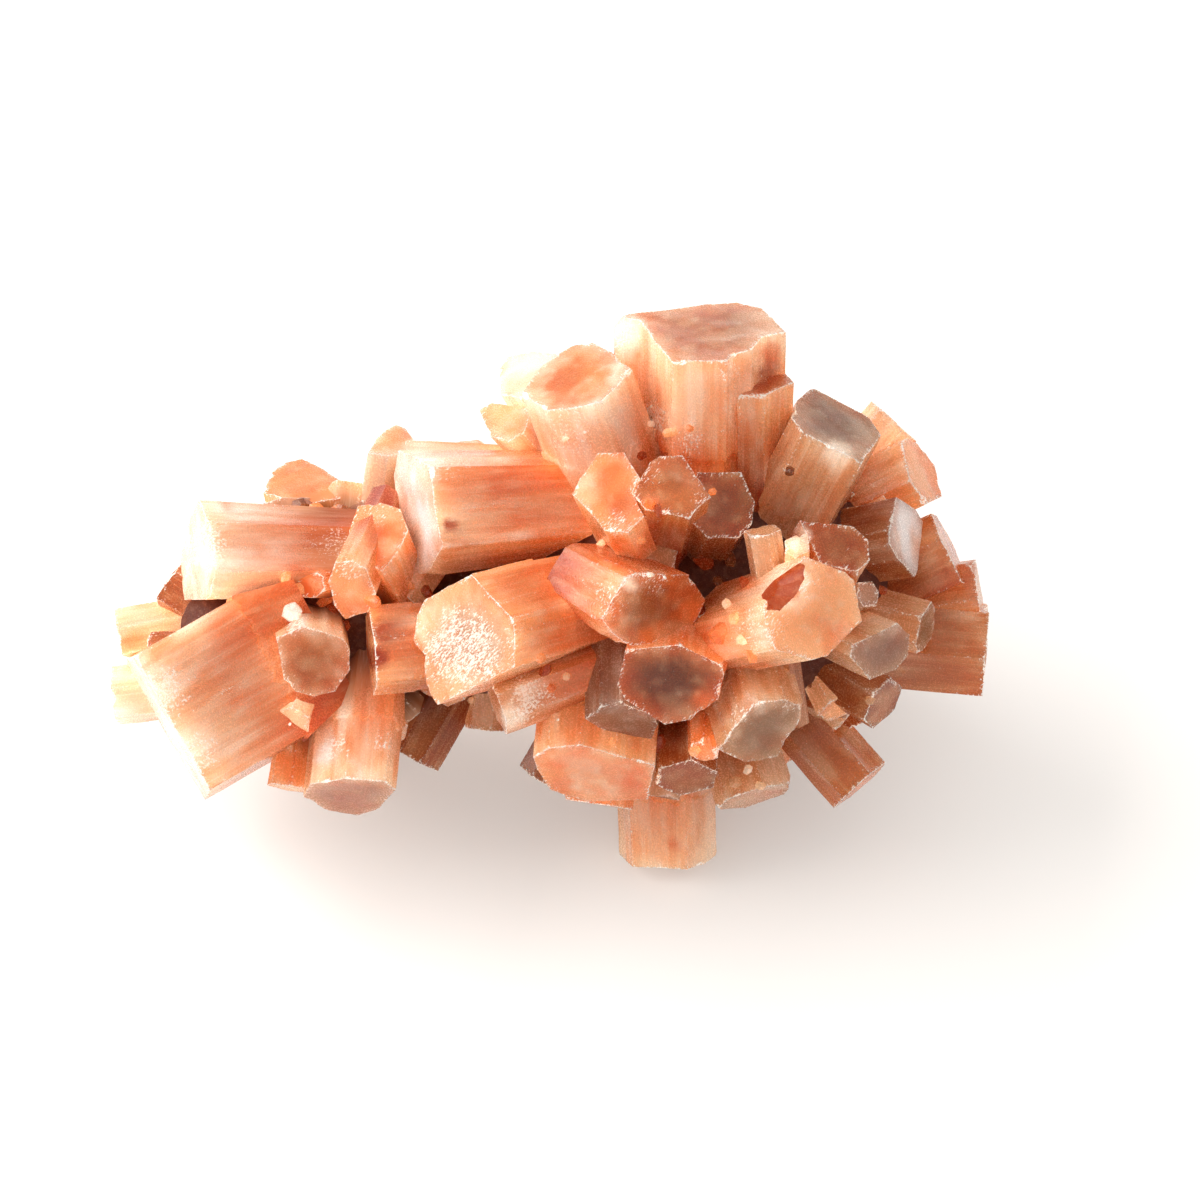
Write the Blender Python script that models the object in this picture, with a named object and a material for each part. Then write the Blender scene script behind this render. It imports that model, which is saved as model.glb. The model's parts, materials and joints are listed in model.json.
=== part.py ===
"""Aragonite sputnik cluster: six-sided twinned prisms that grew outward from two joined centres.

The crystals are laid out as the eye sees them when it looks down on the cluster, and the layout is
then turned upright. Z is up, the long side of the cluster runs along X, and the origin is on the
ground below the middle of its box. The lowest crystal ends are worn flat where the cluster rests.
"""

import math
import random

import bmesh
import bpy
from mathutils import Matrix, Vector

# Driving sizes, in metres and degrees
LENGTH = 0.055  # across the cluster, from its left end to its right end
SQUARE = LENGTH / 878  # one square of the drawing grid, a sixteenth of a millimetre
EYE_DISTANCE = 0.310  # from the eye to the middle of the cluster
EYE_ELEVATION = 50.0  # how steeply the eye looks down
GROUND = 0.0156  # from the middle of the drawing down to the ground

# The drawing grid: squares across from the left, squares down from the top
GRID_MIDDLE = 600
# Depth is in squares too, from the middle of the drawing toward the eye

# The two centres of growth, and the lumps of massive aragonite that the crystals stand on:
# across, down, depth, radius
MAIN_CENTRE = (700, 600, 0)
LEFT_CENTRE = (330, 620, -20)
LUMPS = (
    (700, 600, 0, 150),
    (630, 590, 10, 120),
    (775, 590, -10, 120),
    (500, 600, -20, 100),
    (330, 620, -20, 112),
    (255, 640, -20, 80),
)

# How a crystal's root lies: its share of the way to its centre, and its width against the end's
ROOT_SHARE = 0.86
ROOT_WIDTH = 0.84

# Crystals whose ends are seen: heading of the axis on the drawing (0 to the right, 90 upward), its
# tilt away from the eye, depth of the end, and the end's outline on the grid.
SEEN_ENDS = {
    "top": (90, 66, 116, (
        (614, 316), (640, 320), (656, 343), (672, 361), (727, 361), (735, 353), (752, 349),
        (762, 337), (786, 332), (762, 308), (737, 302), (700, 305), (650, 312))),
    "top_ledge": (90, 66, 125, (
        (731, 388), (738, 396), (765, 396), (780, 388), (794, 382), (783, 370), (764, 368), (755, 380))),
    "upper_left": (110, 57, 130, (
        (521, 393), (540, 367), (556, 355), (575, 345), (592, 342), (612, 352), (632, 368), (618, 385),
        (600, 402), (575, 408), (548, 411))),
    "cream_back": (122, 66, -50, (
        (500, 394), (499, 369), (508, 357), (532, 351), (556, 354), (545, 380), (521, 398))),
    "upper_left_back": (132, 48, 0, (
        (479, 410), (498, 399), (518, 399), (530, 412), (524, 434), (508, 442), (490, 436))),
    "left_beam": (184, 72, 100, (
        (398, 450), (418, 458), (430, 467), (435, 510), (441, 548), (427, 577), (417, 573), (407, 540),
        (398, 505), (394, 475))),
    "front_left": (195, 45, 215, (
        (471, 574), (497, 603), (512, 618), (515, 632), (515, 667), (452, 698), (437, 705), (426, 688),
        (424, 656), (413, 641), (417, 615), (424, 600), (448, 586))),
    "centre": (330, 45, 235, (
        (600, 623), (612, 600), (626, 578), (636, 573), (690, 575), (706, 600), (698, 617), (684, 640),
        (650, 644), (622, 647), (610, 641))),
    "above_centre": (115, 25, 240, (
        (580, 478), (598, 453), (624, 452), (640, 478), (632, 492), (644, 516), (628, 533), (604, 530),
        (590, 512), (572, 494))),
    "dark_above": (80, 25, 235, (
        (641, 478), (650, 462), (660, 456), (682, 455), (700, 480), (711, 497), (697, 508), (690, 519),
        (660, 512), (646, 510), (633, 494))),
    "dark_behind": (60, 20, 200, (
        (698, 472), (741, 472), (755, 502), (752, 524), (739, 538), (708, 538), (690, 520), (692, 490))),
    "brown_right": (60, 30, 190, (
        (800, 520), (853, 526), (868, 540), (870, 560), (862, 575), (820, 563))),
    "right_front": (15, 35, 262, (
        (805, 556), (815, 560), (845, 572), (854, 580), (862, 621), (828, 656), (812, 660), (775, 650),
        (765, 632), (764, 605))),
    "white_end": (10, 65, 60, (
        (897, 497), (916, 510), (925, 525), (922, 560), (915, 577), (900, 560), (892, 545), (889, 530))),
    "grey_right": (335, 50, 160, (
        (850, 657), (852, 645), (870, 637), (898, 623), (910, 635), (908, 655), (895, 670), (870, 680))),
    "grey_top": (63, 62, 110, (
        (812, 387), (862, 413), (885, 430), (862, 463), (803, 433), (791, 418), (797, 400))),
    "grey_low": (285, 40, 215, (
        (727, 738), (740, 715), (748, 704), (785, 700), (805, 708), (802, 720), (777, 757), (745, 762),
        (718, 750))),
    "dark_low": (250, 28, 215, (
        (625, 650), (680, 645), (722, 665), (724, 675), (718, 700), (690, 720), (665, 725), (625, 700),
        (617, 685))),
    "slab": (270, 60, 165, (
        (585, 720), (600, 707), (620, 703), (655, 715), (658, 725), (650, 743), (615, 735), (598, 728))),
    "orange_low": (265, 58, 130, (
        (533, 757), (548, 748), (580, 745), (615, 755), (655, 765), (648, 800), (600, 806), (550, 790),
        (537, 770))),
    "far_left_top": (180, 74, 70, (
        (199, 500), (208, 522), (211, 548), (214, 572), (208, 600), (184, 600), (181, 560), (188, 522))),
    "far_left_low": (210, 82, 45, (
        (125, 660), (135, 655), (172, 722), (210, 790), (205, 800), (165, 732))),
    "left_facing": (285, 22, 130, (
        (276, 638), (290, 632), (303, 625), (328, 628), (343, 633), (350, 652), (350, 670), (335, 692),
        (314, 697), (296, 692), (284, 680))),
    "left_orange": (110, 42, 112, (
        (349, 530), (358, 506), (380, 502), (400, 508), (408, 530), (398, 553), (388, 573), (366, 563),
        (347, 556))),
    "left_small": (250, 35, 145, (
        (328, 582), (335, 562), (352, 558), (366, 568), (376, 594), (368, 612), (345, 620), (334, 606))),
    "left_speck": (180, 35, 108, (
        (297, 576), (312, 566), (322, 572), (326, 590), (315, 598), (298, 598))),
    "left_back_top": (97, 62, -85, (
        (263, 492), (272, 472), (284, 462), (302, 458), (322, 468), (346, 484), (340, 498), (300, 504))),
    "left_back_peak": (80, 62, -40, (
        (368, 452), (376, 439), (386, 429), (396, 424), (406, 428), (416, 442), (406, 451), (388, 456))),
    "left_bottom": (265, 71, 70, (
        (303, 797), (310, 785), (345, 778), (385, 782), (396, 790), (380, 808), (355, 816), (330, 812))),
}

# Crystals that end sooner than the centre of growth, because they stand on a neighbour: their length
SHORT = {"centre": 100, "knob": 40, "crumb": 60, "far_left_top": 160}

# Growth ledges, where a crystal steps in or out: distance below its end, width beyond the step
LEDGES = {
    "top": (104, 0.93),
    "upper_left": (70, 1.03),
    "orange_low": (46, 0.95),
    "far_left_top": (120, 0.92),
    "far_left_low": (110, 1.04),
    "left_bottom": (64, 1.05),
    "grey_top": (90, 0.94),
    "grey_low": (52, 1.05),
    "bottom": (70, 0.94),
    "right_lower": (84, 1.05),
}
LEDGE_DROP = 4  # squares that a ledge's slope takes

# Crystals seen from the side or half hidden: across, down and depth of the end's middle, heading,
# tilt, half width of the end, and how far the crystal is rolled about its axis.
SIDE_ON = {
    "behind_beam": (405, 461, -40, 178, 95, 21, 15),
    "behind_beam_top": (467, 443, -50, 95, 78, 17, 5),
    "pale_sliver": (403, 598, 75, 235, 82, 21, 0),
    "lower_left": (497, 706, 150, 200, 80, 28, 10),
    "cream_between": (655, 552, 180, 60, 25, 24, 0),
    "striated": (762, 530, 215, 100, 72, 19, 0),
    "grey_small": (868, 594, 150, 20, 45, 15, 0),
    "right_upper": (950, 548, -10, 24, 80, 42, 12),
    "right_middle": (980, 596, -30, 8, 82, 38, 20),
    "right_lower": (985, 648, -30, 355, 88, 46, 25),
    "top_right": (922, 472, 0, 25, 65, 38, 20),
    "top_right_back": (893, 420, -45, 48, 86, 30, 0),
    "dark_speck_low": (745, 664, 170, 300, 35, 18, 0),
    "dark_speck_mid": (702, 628, 180, 290, 25, 15, 0),
    "brown_mid": (685, 778, 120, 270, 50, 30, 0),
    "orange_speck": (703, 752, 170, 270, 35, 16, 0),
    "grey_body_low": (752, 798, 20, 287, 76, 40, 0),
    "bottom": (670, 858, -90, 272, 102, 50, 0),
    "low_right": (860, 786, -40, 311, 82, 33, 0),
    "right_under": (884, 703, 70, 330, 60, 28, 0),
    "low_left_dark": (553, 786, -10, 240, 92, 38, 0),
    "under_orange": (596, 804, 30, 262, 88, 34, 0),
    "far_left_back": (119, 634, -50, 190, 88, 27, 0),
    "far_left_pale": (115, 695, -70, 185, 92, 31, 0),
    "left_glint": (292, 722, 110, 250, 45, 19, 0),
    "left_corner": (288, 788, 20, 262, 80, 22, 0),
    "banded": (371, 650, 118, 185, 82, 46, 0),
    "under_neck": (414, 758, -30, 240, 92, 27, 0),
    "knob": (724, 630, 205, 200, 50, 13, 0),
    "crumb": (797, 546, 225, 95, 35, 13, 10),
}

# The crystals that carry the cluster: across, down and depth of the end, and half width. They reach
# a little below the ground, which cuts them flat.
FEET = {
    "foot_left": (322, 742, -216, 34),
    "foot_back": (800, 640, -300, 38),
}

# The hidden back and underside, filled by a spiral of crystals around each centre
BACK = (
    # centre, crystals round the whole ball, reach, rim limit, least and greatest half width
    (MAIN_CENTRE, 62, 262, 178, 30, 50),
    (LEFT_CENTRE, 40, 205, 118, 26, 42),
)
BACK_DEPTH = -0.18  # a crystal belongs to the back where its axis points this far from the eye
GROUND_ROOM = 222  # squares that a crystal of the back may reach down

# Young crystals that cover the lumps between the large ones: how many round each lump, their least and
# greatest reach against the lump's radius, and their least and greatest half width
YOUNG = (34, 1.10, 1.36, 17, 30)
# None of them points nearer the eye than this, but those that point down the drawing may: by how much
YOUNG_DEPTH = 0.25
YOUNG_LOW = 0.6
YOUNG_LENGTH = 0.55  # against their reach
SEED = 7

# The rough hollow in the end of the right front crystal: its two ends on the grid, half width, depth
HOLLOW = ((797, 575), (776, 600), 12, 26)
# The hollow's ragged rim: places along it, and half widths to the side
HOLLOW_RIM = ((-0.2, 0), (0, 0.7), (0.5, 1.0), (1, 0.8), (1.2, 0), (1, -0.7), (0.5, -0.8), (0, -0.8))

# Corners knocked off the crystals' ends: how many each has at most, and their size in squares
MOST_CHIPS = 2
CHIP = (3, 9)

ARAGONITE_ORANGE = (0.80, 0.33, 0.16, 1.0)
ROUGHNESS = 0.32


def axis_of(heading, tilt):
    """Unit axis of a crystal: right, up on the drawing, toward the eye."""
    heading = math.radians(heading)
    tilt = math.radians(tilt)
    side = math.sin(tilt)
    return Vector((side * math.cos(heading), side * math.sin(heading), math.cos(tilt)))


def place(across, down, depth):
    """The point that the eye sees at this place of the grid, at this depth."""
    shrink = (EYE_DISTANCE - depth * SQUARE) / EYE_DISTANCE
    right = (across - GRID_MIDDLE) * SQUARE * shrink
    up = (GRID_MIDDLE - down) * SQUARE * shrink
    return Vector((right, up, depth * SQUARE))


def place_on(across, down, point, normal):
    """Where the eye's line through this place of the grid meets a plane."""
    eye = Vector((0, 0, EYE_DISTANCE))
    line = place(across, down, 0) - eye
    return eye + line * ((point - eye).dot(normal) / line.dot(normal))


def upright(vector):
    """Turns a vector of the drawing, seen from above, into the standing frame."""
    return Matrix.Rotation(math.radians(90 - EYE_ELEVATION), 3, "X") @ vector


def upright_back(vector):
    """The reverse of upright."""
    return Matrix.Rotation(math.radians(EYE_ELEVATION - 90), 3, "X") @ vector


def across_axis(axis):
    """Two directions square to a crystal's axis and to each other."""
    first = axis.orthogonal().normalized()
    return first, axis.cross(first)


def twin_outline(middle, axis, half_width, roll, rng):
    """A six-sided end with sides at uneven distances, as cyclic twins have."""
    first, second = across_axis(axis)
    distances = [half_width * SQUARE * rng.uniform(0.80, 1.0) for _ in range(6)]
    corners = []
    for i in range(6):
        a = math.radians(roll + 60 * i)
        b = math.radians(roll + 60 * (i + 1))
        # The corner where sides i and i + 1 meet
        left, right = distances[i], distances[(i + 1) % 6]
        turn = math.sin(b - a)
        x = (left * math.sin(b) - right * math.sin(a)) / turn
        y = (right * math.cos(a) - left * math.cos(b)) / turn
        corners.append(middle + first * x + second * y)
    return corners


def nearest_centre(point):
    """The centre of growth that a crystal's end belongs to."""
    centres = [place(*centre) for centre in (MAIN_CENTRE, LEFT_CENTRE)]
    return min(centres, key=lambda centre: (centre - point).length)


def length_of(name, middle):
    """How far a crystal runs back from its end."""
    if name in SHORT:
        return SHORT[name] * SQUARE
    return (middle - nearest_centre(middle)).length * ROOT_SHARE


def prism(corners, axis, length, root_width, ledge=None):
    """A closed prism from an end outline back to a narrower root, with a growth ledge or without."""
    middle = sum(corners, Vector()) / len(corners)
    first, second = across_axis(axis)
    flat = [((c - middle).dot(first), (c - middle).dot(second)) for c in corners]
    area = sum(a[0] * b[1] - b[0] * a[1] for a, b in zip(flat, flat[1:] + flat[:1]))
    if area < 0:
        corners = corners[::-1]
    profile = [(0, 1.0)]
    if ledge:
        start, width = ledge
        start = min(start * SQUARE, length * 0.6)
        profile += [(start, 1.0), (start + LEDGE_DROP * SQUARE, width)]
    profile.append((length, root_width))
    bm = bmesh.new()
    rings = [[bm.verts.new(middle + (c - middle) * w - axis * d) for c in corners] for d, w in profile]
    bm.faces.new(rings[0])
    bm.faces.new(rings[-1][::-1])
    for upper, lower in zip(rings, rings[1:]):
        for i in range(len(corners)):
            j = (i + 1) % len(corners)
            bm.faces.new((upper[i], lower[i], lower[j], upper[j]))
    return bm


def knock_off(bm, corners, axis, rng):
    """Cuts small flats where corners of a crystal's end are broken away."""
    middle = sum(corners, Vector()) / len(corners)
    for _ in range(rng.randint(0, MOST_CHIPS)):
        corner = corners[rng.randrange(len(corners))]
        outward = (corner - middle).normalized() + axis * rng.uniform(0.4, 1.2)
        normal = outward.normalized()
        point = corner - normal * rng.uniform(*CHIP) * SQUARE
        everything = bm.verts[:] + bm.edges[:] + bm.faces[:]
        cut = bmesh.ops.bisect_plane(bm, geom=everything, plane_co=point, plane_no=normal, clear_outer=True)
        rim = [item for item in cut["geom_cut"] if isinstance(item, bmesh.types.BMEdge)]
        bmesh.ops.holes_fill(bm, edges=rim)


def crystal(name, corners, axis, length, rng):
    """One twinned prism with its ledge and its chips."""
    bm = prism(corners, axis, length, ROOT_WIDTH, LEDGES.get(name))
    knock_off(bm, corners, axis, rng)
    return bm


def lump(across, down, depth, radius):
    """A rough ball of massive aragonite."""
    rng = random.Random(across)
    bm = bmesh.new()
    bmesh.ops.create_icosphere(bm, subdivisions=2, radius=radius * SQUARE)
    middle = place(across, down, depth)
    for vert in bm.verts:
        vert.co = vert.co * rng.uniform(0.88, 1.0) + middle
    return bm


def seen_end(name):
    """The axis, middle and outline of an end that faces the eye."""
    heading, tilt, depth, outline = SEEN_ENDS[name]
    axis = axis_of(heading, tilt)
    across = sum(p[0] for p in outline) / len(outline)
    down = sum(p[1] for p in outline) / len(outline)
    middle = place(across, down, depth)
    return axis, middle, [place_on(x, y, middle, axis) for x, y in outline]


def seen_crystals():
    """The crystals whose ends face the eye."""
    rng = random.Random(SEED + 3)
    for name in SEEN_ENDS:
        axis, middle, corners = seen_end(name)
        yield name, crystal(name, corners, axis, length_of(name, middle), rng)


def side_crystals():
    """The crystals seen from the side."""
    rng = random.Random(SEED)
    for name, (across, down, depth, heading, tilt, half_width, roll) in SIDE_ON.items():
        axis = axis_of(heading, tilt)
        middle = place(across, down, depth)
        corners = twin_outline(middle, axis, half_width, roll, rng)
        yield name, crystal(name, corners, axis, length_of(name, middle), rng)


def feet():
    """The crystals that the cluster stands on."""
    rng = random.Random(SEED + 1)
    for name, (across, down, depth, half_width) in FEET.items():
        middle = place(across, down, depth)
        axis = (middle - nearest_centre(middle)).normalized()
        corners = twin_outline(middle, axis, half_width, 0, rng)
        yield name, prism(corners, axis, length_of(name, middle), ROOT_WIDTH)


def back_crystals():
    """A spiral of crystals over the back and the underside of both centres."""
    rng = random.Random(SEED + 2)
    golden = math.pi * (3 - math.sqrt(5))
    for centre, count, reach, rim, least, most in BACK:
        start = place(*centre)
        for i in range(count):
            depth = 1 - 2 * (i + 0.5) / count
            side = math.sqrt(1 - depth * depth)
            turn = i * golden
            axis = Vector((side * math.cos(turn), side * math.sin(turn), depth))
            wobble = Vector((rng.uniform(-1, 1), rng.uniform(-1, 1), rng.uniform(-1, 1)))
            axis = (axis + wobble * 0.10).normalized()
            half_width = rng.uniform(least, most)
            roll = rng.uniform(0, 60)
            far = reach * rng.uniform(0.86, 1.0)
            if axis.z > BACK_DEPTH:
                continue
            far = min(far, rim / math.hypot(axis.x, axis.y))
            drop = -upright(axis).z
            room = GROUND_ROOM + upright(start).z / SQUARE
            if drop > 0:
                far = min(far, (room - half_width * 0.5) / drop)
            middle = start + axis * far * SQUARE
            corners = twin_outline(middle, axis, half_width, roll, rng)
            yield f"back_{i}", crystal("back", corners, axis, far * SQUARE * ROOT_SHARE, rng)


def young_crystals():
    """Short crystals all over the lumps, but not where the large ones face the eye."""
    rng = random.Random(SEED + 5)
    golden = math.pi * (3 - math.sqrt(5))
    count, near, most_reach, least, most = YOUNG
    for across, down, depth, radius in LUMPS:
        start = place(across, down, depth)
        others = [(place(*lump[:3]), lump[3]) for lump in LUMPS if lump[:3] != (across, down, depth)]
        for i in range(count):
            level = 1 - 2 * (i + 0.5) / count
            side = math.sqrt(1 - level * level)
            turn = i * golden
            axis = Vector((side * math.cos(turn), side * math.sin(turn), level))
            wobble = Vector((rng.uniform(-1, 1), rng.uniform(-1, 1), rng.uniform(-1, 1)))
            axis = (axis + wobble * 0.16).normalized()
            half_width = rng.uniform(least, most)
            roll = rng.uniform(0, 60)
            far = radius * rng.uniform(near, most_reach)
            drop = -upright(axis).z
            room = GROUND_ROOM + upright(start).z / SQUARE
            if drop > 0:
                far = min(far, (room - half_width * 0.5) / drop)
            middle = start + axis * far * SQUARE
            buried = any((middle - other).length < size * SQUARE for other, size in others)
            if axis.z + YOUNG_LOW * min(axis.y, 0) > YOUNG_DEPTH or buried:
                continue
            corners = twin_outline(middle, axis, half_width, roll, rng)
            yield f"young_{i}", crystal("young", corners, axis, far * SQUARE * YOUNG_LENGTH, rng)


def new_object(name, bm, collection):
    """An object from a bmesh, turned upright, in a collection."""
    for vert in bm.verts:
        vert.co = upright(vert.co)
    mesh = bpy.data.meshes.new(name)
    bmesh.ops.recalc_face_normals(bm, faces=bm.faces)
    bm.to_mesh(mesh)
    bm.free()
    thing = bpy.data.objects.new(name, mesh)
    collection.objects.link(thing)
    return thing


def hollow_cutter(collection):
    """A slot that cuts the rough hollow in the end of the right front crystal."""
    axis, middle, _ = seen_end("right_front")
    start, finish, half_width, deep = HOLLOW
    start = place_on(*start, middle, axis)
    run = place_on(*finish, middle, axis) - start
    aside = axis.cross(run).normalized() * half_width * SQUARE
    tall = axis * deep * SQUARE
    rim = [start + run * along + aside * side + tall * 0.3 for along, side in HOLLOW_RIM]
    return new_object("hollow_cutter", prism(rim, axis, tall.length * 1.3, 0.45), collection)


def ground_cutter(collection):
    """A slab below the ground, which cuts the feet flat."""
    bm = bmesh.new()
    width, depth = LENGTH * 4, LENGTH
    bmesh.ops.create_cube(bm, size=1)
    for vert in bm.verts:
        vert.co = Vector((vert.co.x * width, vert.co.y * width, (vert.co.z - 0.5) * depth - GROUND))
        vert.co = upright_back(vert.co)
    return new_object("ground_cutter", bm, collection)


def add_boolean(thing, operation, other=None, collection=None):
    """A Boolean modifier against one object or a collection of them."""
    modifier = thing.modifiers.new(operation.lower(), "BOOLEAN")
    modifier.operation = operation
    modifier.solver = "EXACT"
    if collection:
        modifier.operand_type = "COLLECTION"
        modifier.collection = collection
    else:
        modifier.object = other


def outer_skin(bm):
    """Deletes every pocket that is sealed inside, so that only the largest skin stays."""
    left = set(bm.faces)
    skins = []
    while left:
        reached = [left.pop()]
        skin = []
        while reached:
            face = reached.pop()
            skin.append(face)
            for edge in face.edges:
                fresh = [other for other in edge.link_faces if other in left]
                left.difference_update(fresh)
                reached.extend(fresh)
        skins.append(skin)
    skins.sort(key=len)
    for skin in skins[:-1]:
        bmesh.ops.delete(bm, geom=skin, context="FACES")


def make_material():
    """Translucent orange aragonite."""
    material = bpy.data.materials.new("aragonite")
    material.use_nodes = True
    shader = material.node_tree.nodes["Principled BSDF"]
    shader.inputs["Base Color"].default_value = ARAGONITE_ORANGE
    shader.inputs["Roughness"].default_value = ROUGHNESS
    shader.inputs["Metallic"].default_value = 0.0
    return material


def join_crystals():
    """The mesh of all crystals joined, with the hollow and the flat feet cut."""
    crystals = bpy.data.collections.new("crystals")
    cutters = bpy.data.collections.new("cutters")
    for collection in (crystals, cutters):
        bpy.context.scene.collection.children.link(collection)
    for source in (seen_crystals(), side_crystals(), feet(), back_crystals(), young_crystals()):
        for name, bm in source:
            new_object(name, bm, crystals)
    for values in LUMPS[1:]:
        new_object("lump", lump(*values), crystals)
    hollow = hollow_cutter(cutters)
    ground = ground_cutter(cutters)
    heart = new_object("heart", lump(*LUMPS[0]), cutters)
    helpers = list(crystals.objects) + list(cutters.objects)
    for helper in helpers:
        helper.hide_render = True
        helper.display_type = "WIRE"
    add_boolean(heart, "UNION", collection=crystals)
    add_boolean(heart, "DIFFERENCE", other=hollow)
    add_boolean(heart, "DIFFERENCE", other=ground)
    bpy.context.view_layer.update()
    graph = bpy.context.evaluated_depsgraph_get()
    mesh = bpy.data.meshes.new_from_object(heart.evaluated_get(graph))
    for helper in helpers:
        bpy.data.objects.remove(helper)
    return mesh


def build_cluster():
    """The finished cluster, with its origin on the ground below the middle of its box."""
    mesh = join_crystals()
    mesh.name = "aragonite_cluster"
    bm = bmesh.new()
    bm.from_mesh(mesh)
    outer_skin(bm)
    low = Vector([min(v.co[i] for v in bm.verts) for i in range(3)])
    high = Vector([max(v.co[i] for v in bm.verts) for i in range(3)])
    foot = Vector(((low.x + high.x) / 2, (low.y + high.y) / 2, low.z))
    bmesh.ops.translate(bm, verts=bm.verts, vec=-foot)
    bm.to_mesh(mesh)
    bm.free()
    mesh.materials.clear()
    mesh.materials.append(make_material())
    cluster = bpy.data.objects.new("aragonite_cluster", mesh)
    bpy.context.scene.collection.objects.link(cluster)


for old in list(bpy.data.objects):
    bpy.data.objects.remove(old)
build_cluster()
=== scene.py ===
"""Aragonite sputnik cluster: the finished crystals, their translucent stone, the floor, light and camera.

The crystals are laid out as in the solid, on a drawing grid that the eye looks down on. Each is built
again here with striated sides, growth ledges, chipped rims and uneven ends, and all are fused in one
skin. Each crystal's colours are chosen by name from a small palette. Its veils, rust and dust, and its
painted highlights, reflections, glow and shade, are kept on the mesh, and its fibres and grains come
from the material's own textures.
"""

import json
import math
import random
from collections import namedtuple

import bmesh
import bpy
import numpy as np
from mathutils import Matrix, Vector, noise
from mathutils.bvhtree import BVHTree
from mathutils.geometry import delaunay_2d_cdt

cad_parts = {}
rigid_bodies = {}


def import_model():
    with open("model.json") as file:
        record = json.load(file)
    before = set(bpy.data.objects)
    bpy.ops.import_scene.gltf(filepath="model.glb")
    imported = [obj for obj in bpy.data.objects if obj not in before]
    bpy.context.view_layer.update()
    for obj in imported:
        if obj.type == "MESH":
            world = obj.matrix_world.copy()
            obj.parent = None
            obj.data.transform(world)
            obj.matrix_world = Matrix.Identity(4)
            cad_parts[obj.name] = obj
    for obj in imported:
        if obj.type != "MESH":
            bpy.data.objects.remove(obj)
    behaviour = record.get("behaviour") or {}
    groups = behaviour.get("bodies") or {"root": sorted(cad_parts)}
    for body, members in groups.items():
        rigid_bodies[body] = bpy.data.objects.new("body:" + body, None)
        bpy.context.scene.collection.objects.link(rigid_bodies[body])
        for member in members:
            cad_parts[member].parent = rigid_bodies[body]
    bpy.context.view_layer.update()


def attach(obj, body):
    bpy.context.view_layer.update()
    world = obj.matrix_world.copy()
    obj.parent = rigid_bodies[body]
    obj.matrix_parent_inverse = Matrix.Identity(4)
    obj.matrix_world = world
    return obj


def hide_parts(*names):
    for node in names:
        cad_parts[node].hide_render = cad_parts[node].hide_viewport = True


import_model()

# Driving sizes, in metres and degrees, as in the solid
LENGTH = 0.055
SQUARE = LENGTH / 878  # one square of the drawing grid
EYE_DISTANCE = 0.310
EYE_ELEVATION = 50.0
GROUND = 0.0156  # from the middle of the drawing down to the ground
# From the middle of the drawing to the ground below the middle of the cluster's box
FOOT = Vector((-0.0032225, 0.0004081, -GROUND))

# The drawing grid: squares across from the left, squares down from the top, and depth toward the eye
GRID_MIDDLE = 600
GRID_SIZE = 1200

# The two centres of growth, and the lumps of massive aragonite: across, down, depth, radius
MAIN_CENTRE = (700, 600, 0)
LEFT_CENTRE = (330, 620, -20)
LUMPS = (
    (700, 600, 0, 150),
    (630, 590, 10, 120),
    (775, 590, -10, 120),
    (500, 600, -20, 100),
    (330, 620, -20, 112),
    (255, 640, -20, 80),
)

# How a crystal's root lies: its share of the way to its centre, and its width against the end's
ROOT_SHARE = 0.86
ROOT_WIDTH = 0.84

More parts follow.
